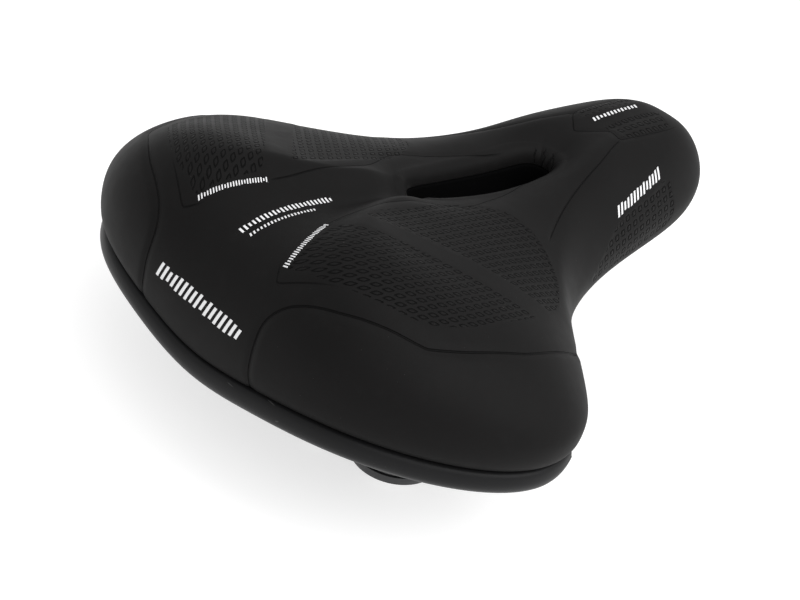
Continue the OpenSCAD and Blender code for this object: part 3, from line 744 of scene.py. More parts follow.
def moulded(name, colour, rough, grain, scuffs=0.15, shine=0.42):
    """Moulded plastic: spark-eroded grain, faint flow marks, a few scuffs and fine scratches."""
    p = Paint(name)
    flow = p.noise(70, 4, 0.6, squash=(1.0, 0.25, 1.0))
    spark, _ = p.cells(1500)
    fine = p.noise(3200, 2)
    scratch = p.noise(900, 2, 0.5, squash=(0.06, 1.0, 0.6)).step(0.70, 0.74)
    patch = p.noise(45).step(0.5, 0.62)
    base = p.blend(flow, scaled(colour, 0.85), scaled(colour, 1.2))
    base = p.blend(scratch * patch * scuffs, base, (0.16, 0.16, 0.16))
    base = p.blend(dust(p, 420, 0.1, 0.08) * 0.5, base, (0.22, 0.21, 0.20))
    return p.finish(base, rough + flow * 0.12 + scratch * patch * 0.15,
                    spark * grain + fine * grain * 0.4 + flow * 0.03 - scratch * patch * 0.02,
                    Specular_IOR_Level=shine)


def rail_finish(sizes):
    """Plated round steel: draw lines along the rod, faint cloudiness, light wear where it clamps."""
    p = Paint("Plated rail steel")
    uv = p.add("ShaderNodeAttribute", {"attribute_name": "rod_mm"}).outputs["Vector"]
    draw = p.noise(1.0, 4, 0.6, place=uv, squash=(0.03, 2.2, 1.0))
    cloud = p.noise(50, 3)
    clamp = p.noise(1.0, 2, 0.5, place=uv, squash=(3.0, 0.3, 1.0)).step(0.64, 0.7)
    base = p.blend(cloud, scaled(sizes.steel, 0.82), scaled(sizes.steel, 1.06))
    base = p.blend(draw.step(0.6, 0.75) * 0.35, base, scaled(sizes.steel, 0.55))
    return p.finish(base, 0.2 + cloud * 0.12 + draw * 0.1 + clamp * 0.1, draw * 0.012 - clamp * 0.006,
                    Metallic=1.0)


def coated_finish(sizes):
    """Black baked coating on pressed steel: orange peel, dust, and small chips down to metal."""
    p = Paint("Black coated steel")
    peel = p.noise(900, 2)
    near, number = p.cells(190)
    chip = (near + p.noise(2200, 2) * 0.12).step(0.14, 0.1) * number.step(0.86, 0.88)
    base = p.blend(p.noise(35), scaled(sizes.paint, 0.85), scaled(sizes.paint, 1.25))
    base = p.blend(chip, base, (0.42, 0.41, 0.40))
    base = p.blend(dust(p, 380, 0.1, 0.1) * 0.5, base, (0.25, 0.24, 0.22))
    return p.finish(base, 0.36 + p.noise(120) * 0.16, peel * 0.02 - chip * 0.05, Metallic=chip,
                    Specular_IOR_Level=0.5, Coat_Roughness=0.25)


def zinc_finish(sizes):
    """Zinc plating: fine crystal mottling with a slight warm and cool drift, and turning marks."""
    p = Paint("Zinc-plated fastener")
    drift = p.noise(240, 3)
    near, number = p.cells(1500)
    base = p.blend(drift, (0.50, 0.50, 0.53), (0.57, 0.54, 0.46))
    base = p.blend(number * 0.3, base, scaled(sizes.zinc, 0.7))
    base = p.blend(p.noise(600, 4).step(0.62, 0.75) * 0.5, base, (0.16, 0.15, 0.14))
    return p.finish(base, 0.3 + number * 0.12 + drift * 0.1, near * 0.01 + p.noise(4000, 2) * 0.004, Metallic=1.0)


def rubber_finish(sizes):
    """Spring rubber: matte, with a pale bloom in patches, mould texture and dust in the folds."""
    p = Paint("Spring rubber")
    bloom = p.noise(110, 4, 0.6).step(0.45, 0.8)
    base = p.blend(bloom * 0.5, sizes_colour(sizes.rubber), scaled(sizes.rubber, 2.4))
    base = p.blend(dust(p, 520, 0.1, 0.16) * 0.6, base, (0.2, 0.19, 0.18))
    return p.finish(base, 0.62 + bloom * 0.15, p.noise(1800, 3) * 0.03 + p.cells(700)[0] * 0.02,
                    Specular_IOR_Level=0.35)


def sizes_colour(colour):
    """A property's colour as a plain tuple."""
    return tuple(colour)


FINISHES = {}


def finish(key, make, *args):
    """Make each finish once and share it."""
    if key not in FINISHES:
        FINISHES[key] = make(*args)
    return FINISHES[key]


# ---------------------------------------------------------------- pieces

def rows_at(values, t):
    """Grid of t along the loop and s (or f) across it."""
    return np.meshgrid(t, np.asarray(values, float))


def spread(*parts):
    """Joined runs of evenly spaced values, each (first, last, count), last value left out."""
    return np.concatenate([np.linspace(a, b, n, endpoint=False) for a, b, n in parts])


class SADDLE_OT_cover(bpy.types.Operator):
    """Moulded skin with its grooves, pressed zones, folds at the slot and turned-in edge"""
    bl_idname = "saddle.cover"
    bl_label = "Cover"

    def execute(self, context):
        sizes = context.scene.saddle_cover
        t = np.arange(660) / 660 * 20
        s = np.append(spread((-2, -1, 2), (-1, 0, 14), (0, 1, 40), (1, 2, 46), (2, 3, 14), (3, 4, 7)), 4.0)
        tt, ss = rows_at(s, t)
        outer = skin_at(tt, ss)
        normal = out_from(tt, ss)
        fields = skin_fields(tt.ravel(), ss.ravel(), outer.reshape(-1, 3))
        shape = tt.shape
        panel, zone = fields["panel_mm"].reshape(shape), fields["zone_mm"].reshape(shape)
        lift = -0.4 * np.exp(-(panel / 1.4) ** 2) + 0.35 * smooth(panel / 3) * smooth((3 - ss) / 0.5)
        for k in range(3):
            gap, fade = fields["lines_mm"][:, k].reshape(shape), fields["lines_fade"][:, k].reshape(shape)
            lift -= 0.25 * fade * np.exp(-(gap / 1.3) ** 2)
        tip, fade = fields["tip_mm"].reshape(shape), fields["tip_fade"].reshape(shape)
        lift -= 0.25 * fade * np.exp(-(tip / 1.3) ** 2)
        lift += -0.2 * smooth(zone / 1.6)
        lift += self.folds(outer, ss, sizes.pucker / MM)
        outer = outer + lift[..., None] * normal
        inner_s = np.append(spread((-2, 0, 3), (0, 1, 3), (1, 2, 4), (2, 3, 3)), (3.0, 4.0))
        ti, si = rows_at(inner_s[::-1], t)
        inner = below(ti, si, np.full(ti.shape, sizes.skin / MM))
        n = inner.shape[0] * inner.shape[1]
        blank = {"panel_mm": 9.0, "zone_mm": -9.0, "tip_mm": 9.0, "lines_mm": 9.0}
        fields = {key: np.concatenate([v, np.full((n,) + v.shape[1:], blank.get(key, 0.0))])
                  for key, v in fields.items()}
        obj = build("cover_skin", [shell_of(np.concatenate([outer, inner]), wrap=True)], fields)
        settle(obj, "seat", "skin", finish("skin", skin_finish, sizes), "cover")
        return {"FINISHED"}

    @staticmethod
    def folds(p, s, height):
        """Folds at the slot's front end: ridges that fan out from it, strongest on the lip."""
        dx, dy = p[..., 0], p[..., 1] - 54.0
        ang = np.arctan2(dx, dy)
        far = np.hypot(dx, dy)
        ridge = np.abs(np.sin(3.5 * ang + 0.6 * np.sin(2 * ang))) ** 0.7 - 0.55
        return height * ridge * np.exp(-((far - 5) / 5.5) ** 2) * np.exp(-(ang / 1.1) ** 4) * smooth(s + 2)


class SADDLE_OT_padding(bpy.types.Operator):
    """Foam pad with its two pockets, and the soft insert in each pocket"""
    bl_idname = "saddle.padding"
    bl_label = "Padding"

    def execute(self, context):
        sizes = context.scene.saddle_cover
        skin = sizes.skin / MM
        t = np.arange(300) / 300 * 20
        s = np.append(spread((-1.5, 0, 7), (0, 1, 22), (1, 2, 24), (2, 2.7, 6)), 2.7)
        tt, ss = rows_at(s, t)
        upper = below(tt, ss, skin + 0.6 + np.where(ss > 0, pocket_at(tt, ss), 0))
        tf, ff = rows_at(np.linspace(1, 0, 16), t)
        lower = pan_at(tf, ff) + np.array([0, 0, 0.3])
        foam = build("foam_padding", [shell_of(np.concatenate([upper, lower]), wrap=True)])
        settle(foam, "seat", "foam", finish("foam", foam_finish, sizes), "foam_pad")
        for word, sign in (("left", -1), ("right", 1)):
            obj = build("soft_insert_pad_" + word, [self.lens(sign, skin)])
            settle(obj, "seat", "gel", finish("gel", gel_finish, sizes), "soft_insert_" + word)
        return {"FINISHED"}

    @staticmethod
    def lens(sign, skin):
        """Lens between the skin and the pocket: rings of an oval, up over and down under."""
        r = np.linspace(0.03, 0.92, 18)
        a = np.arange(72) / 72 * 2 * np.pi
        t = 4.1 + 1.9 * r[:, None] * np.cos(a)
        s = 1.02 + 0.42 * r[:, None] * np.sin(a)
        top = below(t, s, np.full(t.shape, skin + 0.9))
        low = below(t, s, skin + 1.2 + 0.8 * np.maximum(pocket_at(t, s) - 1, 0))
        rows = np.concatenate([top, low[::-1]])
        rows[..., 0] *= sign
        return shell_of(rows)


class SADDLE_OT_marks(bpy.types.Operator):
    """Plain printed dashes and slanted bars on the skin"""
    bl_idname = "saddle.marks"
    bl_label = "Printed marks"

    def execute(self, context):
        lift = context.scene.saddle_cover.mark_lift / MM
        shells = []
        for sign in (-1, 1):
            shells += self.row((sign * 23.2, -104.6, 0), (sign * 15.6, -80.2, 0), (0, 0, 1), 1.9, 25, 0.45, 0.2, lift)
        shells += self.row((-2.8, -102, 0), (-2.8, -59.5, 0), (0, 0, 1), 2.3, 24, 0.45, 0.0, lift)
        shells += self.row((1.0, -101, 0), (1.0, -71, 0), (0, 0, 1), 1.3, 20, 0.45, 0.3, lift)
        shells += self.row((-21.5, 0, 61), (23.5, 0, 61), (0, -1, 0), 5.8, 17, 0.5, 0.3, lift)
        shells += self.row((-4.9, 89.5, 0), (-4.9, 119, 0), (0, 0, 1), 2.1, 13, 0.5, 0.35, lift)
        for sign in (-1, 1):
            shells += self.row((0, 64.8, 62.4), (0, 98.2, 68.2), (sign, 0, 0), 3.7, 14, 0.5, 0.45, lift)
        obj = build("printed_marks", shells)
        settle(obj, "seat", "skin", finish("mark", mark_finish, context.scene.saddle_cover))
        return {"FINISHED"}

    @staticmethod
    def row(start, end, away, tall, count, full, slant, lift):
        """Row of bars from start to end, seen along the direction away. Each bar is a grid laid on
        the skin: its flat place is matched to the skin's (t, s) by a few straight-line steps."""
        away = np.array(away, float)
        start, end = np.array(start, float), np.array(end, float)
        run = unit(end - start)
        up = unit(np.cross(away, run))
        step = np.linalg.norm(end - start) / count
        a = np.linspace(0, full, 5)
        b = np.linspace(-0.5, 0.5, 7)
        i, bb, aa = np.meshgrid(np.arange(count), b, a, indexing="ij")
        tall_i = tall * (1 - 0.3 * ((i * 5) % 7 == 3) - 0.14 * ((i * 3) % 4 == 1))
        flat = (start + run * ((i + aa) * step + bb * tall_i * slant)[..., None] + up * (bb * tall_i)[..., None])
        t, s = SADDLE_OT_marks.match(flat.reshape(-1, 3), run, up, away)
        p, n = skin_at(t, s), out_from(t, s)
        low = (p - 0.12 * n).reshape(flat.shape)
        high = (p + lift * n).reshape(flat.shape)
        return [SADDLE_OT_marks.slab(lo, hi) for lo, hi in zip(low, high)]

    @staticmethod
    def slab(low, high):
        """Closed thin slab between two grids: rows run across the top face, then back below."""
        rows = np.concatenate([high, low[:, ::-1]], axis=1)
        return shell_of(rows)

    @staticmethod
    def match(flat, run, up, away):
        """(t, s) of the skin point in front of each flat point: nearest point of a coarse grid that
        faces the same way, then four Newton steps in the plane of run and up."""
        tg, sg = np.meshgrid(np.arange(240) / 12, np.linspace(0.05, 2.4, 90))
        grid = skin_at(tg, sg).reshape(-1, 3)
        face = out_from(tg, sg).reshape(-1, 3) @ away > 0.3
        t0, s0, grid = tg.ravel()[face], sg.ravel()[face], grid[face]
        plane = np.stack([run, up], 1)
        gp, fp = grid @ plane, flat @ plane
        near = np.argmin(((fp[:, None] - gp[None]) ** 2).sum(-1), 1)
        t, s = t0[near], s0[near]
        for _ in range(5):
            e = 1e-3
            miss = skin_at(t, s) @ plane - fp
            dt = (skin_at(t + e, s) - skin_at(t - e, s)) @ plane / (2 * e)
            ds = (skin_at(t, s + e) - skin_at(t, s - e)) @ plane / (2 * e)
            det = dt[:, 0] * ds[:, 1] - dt[:, 1] * ds[:, 0]
            t = t - (miss[:, 0] * ds[:, 1] - miss[:, 1] * ds[:, 0]) / det
            s = s - (dt[:, 0] * miss[:, 1] - dt[:, 1] * miss[:, 0]) / det
        return t, s


class SADDLE_OT_shell(bpy.types.Operator):
    """Base shell with stiffening ribs and a pad for the nose socket"""
    bl_idname = "saddle.shell"
    bl_label = "Base shell"

    def execute(self, context):
        sizes = context.scene.saddle_shell
        t = np.arange(720) / 720 * 20
        f = np.append(spread((0, 0.68, 34), (0.68, 1, 16)), 1.0)
        tt, ff = rows_at(f, t)
        top = pan_at(tt, ff)
        low = top[::-1].copy()
        tl, fl = tt[::-1], ff[::-1]
        x, y = low[..., 0], low[..., 1]
        o, c, gap, d = spokes(tl)
        across = (tl - np.round(tl)) * np.linalg.norm(around(OUTLINE, tl + 0.01) - around(OUTLINE, tl - 0.01), axis=-1) * 50
        across = across * (0.25 + 0.75 * fl)
        half = sizes.rib_half / MM
        spoke = smooth((half + 0.35 - np.abs(across)) / 0.7) * smooth((fl - 0.2) / 0.06) * smooth((0.9 - fl) / 0.06)
        hoop = smooth((half + 0.35 - np.abs((fl - 0.56) * gap)) / 0.7)
        hoop = np.maximum(hoop, smooth((half + 0.35 - np.abs((fl - 0.24) * gap)) / 0.7) * (gap > 40))
        rib = sizes.rib / MM * np.maximum(spoke, hoop)
        for sx in (-1, 1):
            near = np.hypot(x - sx * SPRING_X, y - SPRING_Y)
            rib *= smooth((near - 12.5) / 1.2)
        rib *= smooth((gap * fl - 9) / 2)
        pad = smooth((12.5 - np.abs(x)) / 1.0) * smooth((15.5 - np.abs(y - 116)) / 1.0)
        low[..., 2] -= SHELL_T + rib * (1 - pad)
        low[..., 2] = low[..., 2] * (1 - pad) + np.minimum(low[..., 2], 43.7) * pad
        obj = build("base_shell_ribbed", [shell_of(np.concatenate([top, low]), wrap=True)])
        settle(obj, "seat", "shell", finish("shell", moulded, "Moulded shell", sizes_colour(sizes.colour), 0.42, 0.035),
               "base_shell")
        return {"FINISHED"}


GUARD = np.array([[0.2, -0.7], [-1.5, -2], [-2.4, -5], [-1.8, -8], [0.4, -10.6], [4, -12.3], [7.5, -12.5],
                  [7.2, -11], [4.6, -8.5], [3.6, -3.2], [15, -3.2], [15, -0.7]])


class SADDLE_OT_guard(bpy.types.Operator):
    """Rear edge guard swept round the back, and the screws through its flange"""
    bl_idname = "saddle.guard"
    bl_label = "Rear guard"

    def execute(self, context):
        sizes = context.scene.saddle_shell
        t = np.linspace(-4.7, 4.7, 420)
        profile = corners(GUARD, 2.2, 5)
        band = self.place(t[:, None], profile[None, :, 0], profile[None, :, 1])
        obj = build("rear_guard_band", [shell_of(band)])
        settle(obj, "seat", "guard", finish("guard", moulded, "Satin guard", sizes_colour(sizes.guard_colour), 0.36, 0.02, 0.3, 0.12),
               "rear_guard")
        at = self.place(np.array([-3.6, -1.6, 1.6, 3.6]), np.full(4, 11.0), np.full(4, -3.2))
        shells = [headed(x, y, z - 0.35, 3.0, 1.7, 1.4, 2.2, 0, 1.5, 0.8) for x, y, z in at]
        screws = build("guard_flange_screws", shells)
        settle(screws, "seat", "fastener", finish("zinc", zinc_finish, context.scene.saddle_rail), "guard_screws")
        return {"FINISHED"}

    @staticmethod
    def place(t, u, v):
        """Point of the guard: u inwards from the tucked outline, v above the skin's edge; the hook
        below the flange shrinks to nothing over the last eighth of each end, as a quarter circle."""
        k = np.abs(t) / 4.7
        e = (k - 0.87) / 0.13
        shrink = np.where(k < 0.87, 1, np.maximum(np.sqrt(np.maximum(1 - e * e, 0)), 0.12))
        v = np.where(v > -3.3, v, -3.2 + (v + 3.2) * shrink)
        t, u, v = np.broadcast_arrays(t % 20, u, v)
        o, c, gap, d = spokes(t)
        xy = o - d * (u + around(TUCK, t) * 0.86)[..., None]
        return np.concatenate([xy, (around(EDGE_Z, t) + v)[..., None]], -1)


class SADDLE_OT_liner(bpy.types.Operator):
    """Liner of the centre slot and the screws through its flange"""
    bl_idname = "saddle.liner"
    bl_label = "Slot liner"

    def execute(self, context):
        sizes = context.scene.saddle_shell
        t = np.arange(260) / 260 * 20
        o, c, gap, d = spokes(t)
        wall = skin_at(t, -2.0)[:, 2]
        pan = pan_at(t, 0.0)[:, 2] - SHELL_T
        table = [(-0.9, wall - 0.7), (0.5, wall - 0.1), (1.1, wall - 0.1), (1.1, pan - 0.1), (8, pan - 0.3), (8, pan - 2.1),
                 (-0.9, pan - 2.1)]
        profile = np.stack([np.stack([np.full(len(t), q), z], -1) for q, z in table])
        profile = corners(profile, sizes.ease / MM, 4)
        xy = c + d * profile[..., :1]
        rows = np.concatenate([xy, profile[..., 1:]], -1)
        obj = build("slot_liner_ring", [shell_of(rows, wrap=True)])
        # The liner's near-black colour and almost absent shine are painted shade for the inside of the slot.
        settle(obj, "seat", "liner", finish("liner", moulded, "Slot liner", sizes_colour(sizes.liner_colour_and_shade), 0.75, 0.015, 0.05, 0.01),
               "slot_liner")
        k = np.array([0, 4, 7, 10, 13, 16], float)
        o, c, gap, d = spokes(k)
        xy = c + d * 5.2
        z = pan_at(k, 0.0)[:, 2] - SHELL_T - 2.15
        shells = [headed(x, y, zz, 2.0, 1.6, 1.0, 2.0, 0, 1.1, 0.7, count=48) for (x, y), zz in zip(xy, z)]
        screws = build("liner_flange_screws", shells)
        settle(screws, "seat", "fastener", finish("zinc", zinc_finish, context.scene.saddle_rail), "liner_screws")
        return {"FINISHED"}


def rod_line(points, bends, step=2.2):
    """Centre line of a bent rod: straight runs joined by arcs. Each arc is swept in the plane of its
    two straights, from the tangent point before the corner to the one after it."""
    p = [np.array(q, float) for q in points]
    line = [p[0][None]]
    for i in range(1, len(p) - 1):
        u, v = unit(p[i] - p[i - 1]), unit(p[i + 1] - p[i])
        th = math.acos(float(np.clip(u @ v, -1, 1)))
        first = p[i] - u * bends[i] * math.tan(th / 2)
        centre = p[i] + unit(v - u) * bends[i] / math.cos(th / 2)
        x = unit(first - centre)
        a = np.linspace(0, th, max(6, int(th * bends[i] / 1.2)))[:, None]
        arc = centre + bends[i] * (x * np.cos(a) + u * np.sin(a))
        gap = np.linalg.norm(arc[0] - line[-1][-1])
        k = np.linspace(0, 1, max(2, int(gap / step)), endpoint=False)[1:, None]
        line += [line[-1][-1] + (arc[0] - line[-1][-1]) * k, arc]
    k = np.linspace(0, 1, 12)[1:, None]
    return np.vstack(line + [line[-1][-1] + (p[-1] - line[-1][-1]) * k])


class SADDLE_OT_rails(bpy.types.Operator):
    """Rails: one bent rod from tail to tail round the nose bar"""
    bl_idname = "saddle.rails"
    bl_label = "Rails"

    def execute(self, context):
        sizes = context.scene.saddle_rail
        half = [(24, -74, 0), (24, -56, 0), (22, -37, 0), (22, 46, 0), (15, 102, 29.5), (15, 116, 33)]
        points = half + [(-x, y, z) for x, y, z in half[::-1]]
        line = rod_line(points, [0, 16, 16, 40, 30, 7.5, 7.5, 30, 40, 16, 16, 0])
        ahead = unit(np.gradient(line, axis=0))
        side = unit(np.cross(ahead, np.array([0, 0, 1.0])))
        lift = np.cross(side, ahead)
        r = np.full(len(line), sizes.rod / MM / 2)
        line = np.concatenate([line[:1], line[:1] + ahead[:1] * 0.25, line[:1] + ahead[:1] * 0.7, line[1:-1],
                               line[-1:] - ahead[-1:] * 0.7, line[-1:] - ahead[-1:] * 0.25, line[-1:]])
        ends = lambda a: np.concatenate([a[:1], a[:1], a[:1], a[1:-1], a[-1:], a[-1:], a[-1:]])
        side, lift, r = ends(side), ends(lift), ends(r)
        r[[0, -1]] -= 0.7
        r[[1, -2]] -= 0.3
        a = np.arange(56) / 56 * 2 * np.pi
        rows = line[:, None] + r[:, None, None] * (side[:, None] * np.cos(a)[:, None] + lift[:, None] * np.sin(a)[:, None])
        run = np.append(0, np.cumsum(np.linalg.norm(np.diff(line, axis=0), axis=1)))
        uv = np.stack([run[:, None] + 0 * a, 10 * np.sin(a) + 0 * run[:, None], 10 * np.cos(a) + 0 * run[:, None]], -1)
        uv = np.vstack([uv.reshape(-1, 3), [[0, 0, 0], [run[-1], 0, 0]]])
        obj = build("rail_rod", [shell_of(rows)], {"rod_mm": uv})
        settle(obj, "rail_frame", "rail_steel", finish("rail", rail_finish, sizes), "rail")
        return {"FINISHED"}


class SADDLE_OT_yoke(bpy.types.Operator):
    """Pressed yoke, the two straps that hold the rail tails, and their rivets"""
    bl_idname = "saddle.yoke"
    bl_label = "Yoke and straps"

    def execute(self, context):
        sizes = context.scene.saddle_rail
        coat = finish("coat", coated_finish, sizes)
        for node, name in (("rear_yoke", "yoke_plate"), ("rail_strap_left", "tail_strap_left"),
                           ("rail_strap_right", "tail_strap_right")):
            settle(eased(node, name, sizes.ease), "rail_frame", "plate_steel", coat, node)
        settle(eased("strap_rivets", "strap_rivet_set", sizes.ease), "rail_frame", "fastener",
               finish("zinc", zinc_finish, sizes), "strap_rivets")
        return {"FINISHED"}


class SADDLE_OT_springs(bpy.types.Operator):
    """Ribbed rubber springs between their lower and upper cups, and the moulded posts above"""
    bl_idname = "saddle.springs"
    bl_label = "Springs, cups and posts"

    def execute(self, context):
        sizes = context.scene.saddle_rail
        ease = context.scene.saddle_shell.ease / MM
        z0, z1 = SPRING_LOW[2], SPRING_HIGH[2]
        sr = SPRING_R
        plastic = finish("cup", moulded, "Cup plastic", sizes_colour(sizes.cup), 0.4, 0.03)
        rubber = finish("rubber", rubber_finish, sizes)
        lower = [(5.2, 0), (sr + 1, 0), (sr + 2, 1), (sr + 2, 4.5), (sr + 0.6, 4.5), (sr + 0.6, 2.4), (5.2, 2.4)]
        upper = [(3.2, 0), (sr + 0.6, 0), (sr + 0.6, -2), (sr + 2, -2), (sr + 2, 2), (sr, 3.4), (3.2, 3.4)]
        for word, k in (("left", -1), ("right", 1)):
            x = k * SPRING_X
            obj = build("spring_" + word, [self.bellows(x, SPRING_Y, z0, z1)])
            settle(obj, "rail_frame", "spring_rubber", rubber, "rubber_spring_" + word)
            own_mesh(obj)
            low = build("spring_seat_" + word, [turned(lower, ease, x, SPRING_Y, span("lower_cup_" + word)[0][2])])
            settle(low, "rail_frame", "cup", plastic, "lower_cup_" + word)
            top = build("spring_cap_" + word, [turned(upper, ease, x, SPRING_Y, span("upper_cup_" + word)[0][2] + 2)])
            settle(top, "seat", "cup", plastic, "upper_cup_" + word)
            post = build("shell_post_moulded_" + word, [self.post(x, span("shell_post_" + word)[0][2])])
            settle(post, "seat", "cup", plastic, "shell_post_" + word)
        return {"FINISHED"}

    @staticmethod
    def bellows(x, y, z0, z1):
        """Rubber spring: a bore, and outside three full ribs whose radius follows a flattened cosine
        of the height."""
        h = z1 - z0
        k = np.linspace(0, 1, 90)
        wave = 0.5 + 0.5 * np.cos(2 * np.pi * 2.5 * (k - 0.1))
        r = SPRING_R - 3.5 * (1 - smooth(wave * 1.5))
        end = np.minimum(k, 1 - k)
        r = r - 1.0 * (1 - np.sqrt(np.clip(1 - (1 - end / 0.04).clip(0, 1) ** 2, 0, 1)))
        bore = np.array([(6.0, h), (5.2, h - 0.8), (5.2, 0.8), (6.0, 0)])
        profile = np.vstack([np.stack([r, k * h], 1), bore])
        a = np.arange(96) / 96 * 2 * np.pi
        rows = np.stack([x + profile[:, :1] * np.cos(a), y + profile[:, :1] * np.sin(a),
                         np.broadcast_to(z0 + profile[:, 1:], (len(profile), 96))], -1)
        return shell_of(rows, wrap=True)

    @staticmethod
    def post(x, z):
        """Post under the shell: its radius eases out into the pan as a quarter round near the top,
        and six fins stand out from it."""
        a = np.arange(144) / 144 * 2 * np.pi
        k = np.linspace(0, 1, 22)[:, None]
        fin = smooth((np.cos(6 * a) - 0.72) / 0.12)
        r = 9.2 + 2.8 * np.maximum(fin * smooth(k / 0.12), smooth((k - 0.7) / 0.3)) + 0 * a
        px, py = x + r * np.cos(a), SPRING_Y + r * np.sin(a)
        top = along(PAN_Z, py) - SHELL_T - 0.1
        outer = np.stack([px, py, z + (top - z) * k], -1)
        bore = np.stack([x + 3.1 * np.cos(a), SPRING_Y + 3.1 * np.sin(a)], -1)
        bt = along(PAN_Z, bore[:, 1]) - SHELL_T - 0.1
        rows = np.concatenate([outer, np.concatenate([bore, bt[:, None]], -1)[None],
                               np.concatenate([bore, np.full((144, 1), z)], -1)[None]])
        return shell_of(rows, wrap=True)


class SADDLE_OT_bolts(bpy.types.Operator):
    """Bolts that hang from the posts through the springs, with their washers"""
    bl_idname = "saddle.bolts"
    bl_label = "Spring bolts and washers"

    def execute(self, context):
        sizes = context.scene.saddle_rail
        zinc = finish("zinc", zinc_finish, sizes)
        low, high = span("spring_bolts")
        shells = [headed(k * SPRING_X, SPRING_Y, low[2] + 4, 5.5, 4.0, 3.0, high[2] - low[2] - 4, 6, 2.5, 2.4, count=96)
                  for k in (-1, 1)]
        settle(build("spring_bolt_pair", shells), "seat", "fastener", zinc, "spring_bolts")
        z = span("spring_washers")[0][2]
        ring = [(3.1, 0), (7, 0), (7, 1.8), (3.1, 1.8)]
        shells = [turned(ring, 0.35, k * SPRING_X, SPRING_Y, z, 72) for k in (-1, 1)]
        settle(build("spring_washer_pair", shells), "seat", "fastener", zinc, "spring_washers")
        return {"FINISHED"}


class SADDLE_OT_nose_fixing(bpy.types.Operator):
    """Socket and clip around the nose bar, their screws, and the staples along the skin's edge"""
    bl_idname = "saddle.nose_fixing"
    bl_label = "Nose fixing and staples"

    def execute(self, context):
        sizes = context.scene.saddle_rail
        plastic = finish("shell", moulded, "Moulded shell", sizes_colour(context.scene.saddle_shell.colour), 0.42, 0.035)
        zinc = finish("zinc", zinc_finish, sizes)
        settle(eased("nose_socket", "nose_bar_socket", sizes.ease), "seat", "socket", plastic, "nose_socket")
        settle(eased("nose_clip", "nose_bar_clip", sizes.ease), "seat", "socket", plastic, "nose_clip")
        shells = [headed(0, 116 + 8 * j, span("nose_screws")[0][2] + 2.2, 3.4, 2.2, 2.0, 12.5, 6, 1.4, 1.3, count=72)
                  for j in (-1, 1)]
        settle(build("nose_clip_screws", shells), "seat", "fastener", zinc, "nose_screws")
        settle(eased("edge_staples", "edge_staple_set", 0.0002), "seat", "fastener", zinc, "edge_staples")
        return {"FINISHED"}


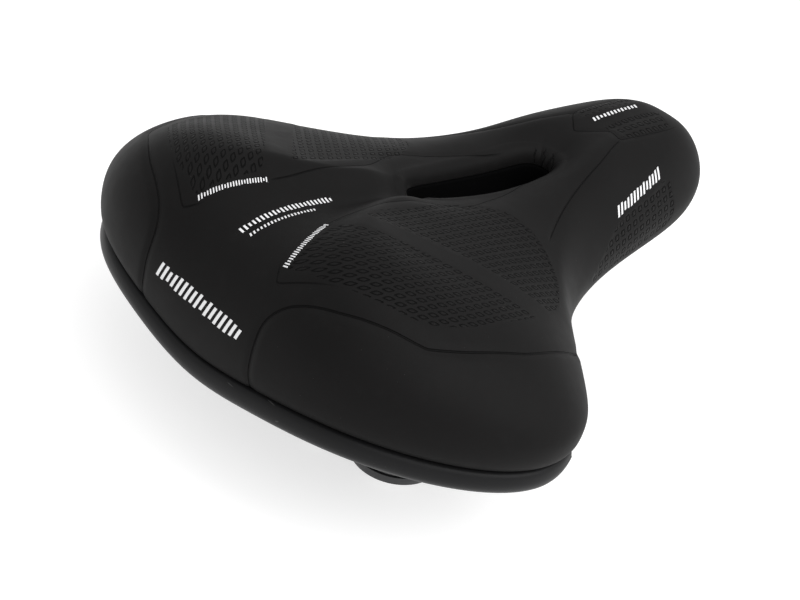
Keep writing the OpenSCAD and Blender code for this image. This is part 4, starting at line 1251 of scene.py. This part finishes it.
class SADDLE_OT_stage(bpy.types.Operator):
    """Pale floor, soft lights and the camera"""
    bl_idname = "saddle.stage"
    bl_label = "Stage"

    def execute(self, context):
        sizes = context.scene.saddle_stage
        scene = context.scene
        k = 3000.0
        z = LOWEST - 0.3
        mesh = bpy.data.meshes.new("studio_floor")
        mesh.from_pydata([(-k * MM, -k * MM, z * MM), (k * MM, -k * MM, z * MM), (k * MM, k * MM, z * MM),
                          (-k * MM, k * MM, z * MM)], [], [(0, 1, 2, 3)])
        floor = bpy.data.objects.new("studio_floor", mesh)
        scene.collection.objects.link(floor)
        paint = Paint("Studio floor")
        base = paint.blend(paint.noise(3), scaled(sizes.floor, 0.99), tuple(sizes.floor))
        mesh.materials.append(paint.finish(base, 0.9 + paint.noise(20) * 0.05, paint.noise(400) * 0.01,
                                           Specular_IOR_Level=0.1, Emission_Color=(1.0, 1.0, 1.0, 1.0),
                                           Emission_Strength=sizes.glow))
        world = bpy.data.worlds.new("Studio room")
        world.use_nodes = True
        world.node_tree.nodes["Background"].inputs[0].default_value = (1, 1, 1, 1)
        world.node_tree.nodes["Background"].inputs[1].default_value = sizes.sky
        scene.world = world
        self.lamp("Key softbox", (0.95, 0.45, 0.9), 0.9, sizes.key)
        self.lamp("Side softbox", (0.9, -0.35, 0.8), 0.7, sizes.fill)
        self.lamp("Top softbox", (0.0, 0.05, 1.25), 0.8, sizes.fill)
        az, el, roll = (math.radians(v) for v in (sizes.azimuth, sizes.elevation, sizes.roll))
        back = Vector((math.sin(az) * math.cos(el), -math.cos(az) * math.cos(el), math.sin(el)))
        right = Vector((math.cos(az), math.sin(az), 0))
        up = back.cross(right)
        r2 = right * math.cos(roll) + up * math.sin(roll)
        u2 = up * math.cos(roll) - right * math.sin(roll)
        cam = bpy.data.objects.new("Camera", bpy.data.cameras.new("Camera"))
        cam.data.lens, cam.data.sensor_width = sizes.lens, 36.0
        cam.data.clip_start, cam.data.clip_end = 0.01, 50.0
        turn = Matrix((r2, u2, back)).transposed().to_4x4()
        cam.matrix_world = Matrix.Translation(Vector(sizes.aim) + back * sizes.distance) @ turn
        scene.collection.objects.link(cam)
        scene.camera = cam
        scene.view_settings.view_transform = "Standard"
        return {"FINISHED"}

    @staticmethod
    def lamp(name, place, side, power):
        """Square area light aimed at the saddle's middle."""
        data = bpy.data.lights.new(name, "AREA")
        data.shape, data.size, data.energy = "SQUARE", side, power
        lamp = bpy.data.objects.new(name, data)
        lamp.location = place
        lamp.rotation_euler = (Vector((0, 0, 0.04)) - Vector(place)).to_track_quat("-Z", "Y").to_euler()
        bpy.context.scene.collection.objects.link(lamp)


STEPS = (SADDLE_OT_cover, SADDLE_OT_padding, SADDLE_OT_marks, SADDLE_OT_shell, SADDLE_OT_guard, SADDLE_OT_liner,
         SADDLE_OT_rails, SADDLE_OT_yoke, SADDLE_OT_springs, SADDLE_OT_bolts, SADDLE_OT_nose_fixing,
         SADDLE_OT_stage)
GROUPS = (("saddle_cover", SaddleCoverSizes), ("saddle_shell", SaddleShellSizes), ("saddle_rail", SaddleRailSizes),
          ("saddle_stage", SaddleStageSizes))


class SADDLE_PT_panel(bpy.types.Panel):
    """Lists the saddle's pieces and their sizes"""
    bl_label = "Saddle"
    bl_idname = "SADDLE_PT_panel"
    bl_space_type = "VIEW_3D"
    bl_region_type = "UI"
    bl_category = "Saddle"

    def draw(self, context):
        for step in STEPS:
            self.layout.operator(step.bl_idname)
        for key, group in GROUPS:
            box = self.layout.box()
            for name in group.__annotations__:
                box.prop(getattr(context.scene, key), name)


def register():
    for _, group in GROUPS:
        bpy.utils.register_class(group)
    for step in STEPS:
        bpy.utils.register_class(step)
    bpy.utils.register_class(SADDLE_PT_panel)
    for key, group in GROUPS:
        setattr(bpy.types.Scene, key, PointerProperty(type=group))


def unregister():
    for key, _ in GROUPS:
        delattr(bpy.types.Scene, key)
    for item in (SADDLE_PT_panel, *reversed(STEPS), *(g for _, g in GROUPS)):
        bpy.utils.unregister_class(item)


def main():
    register()
    for step in STEPS:
        group, name = step.bl_idname.split(".")
        getattr(getattr(bpy.ops, group), name)()


if __name__ == "__main__":
    main()
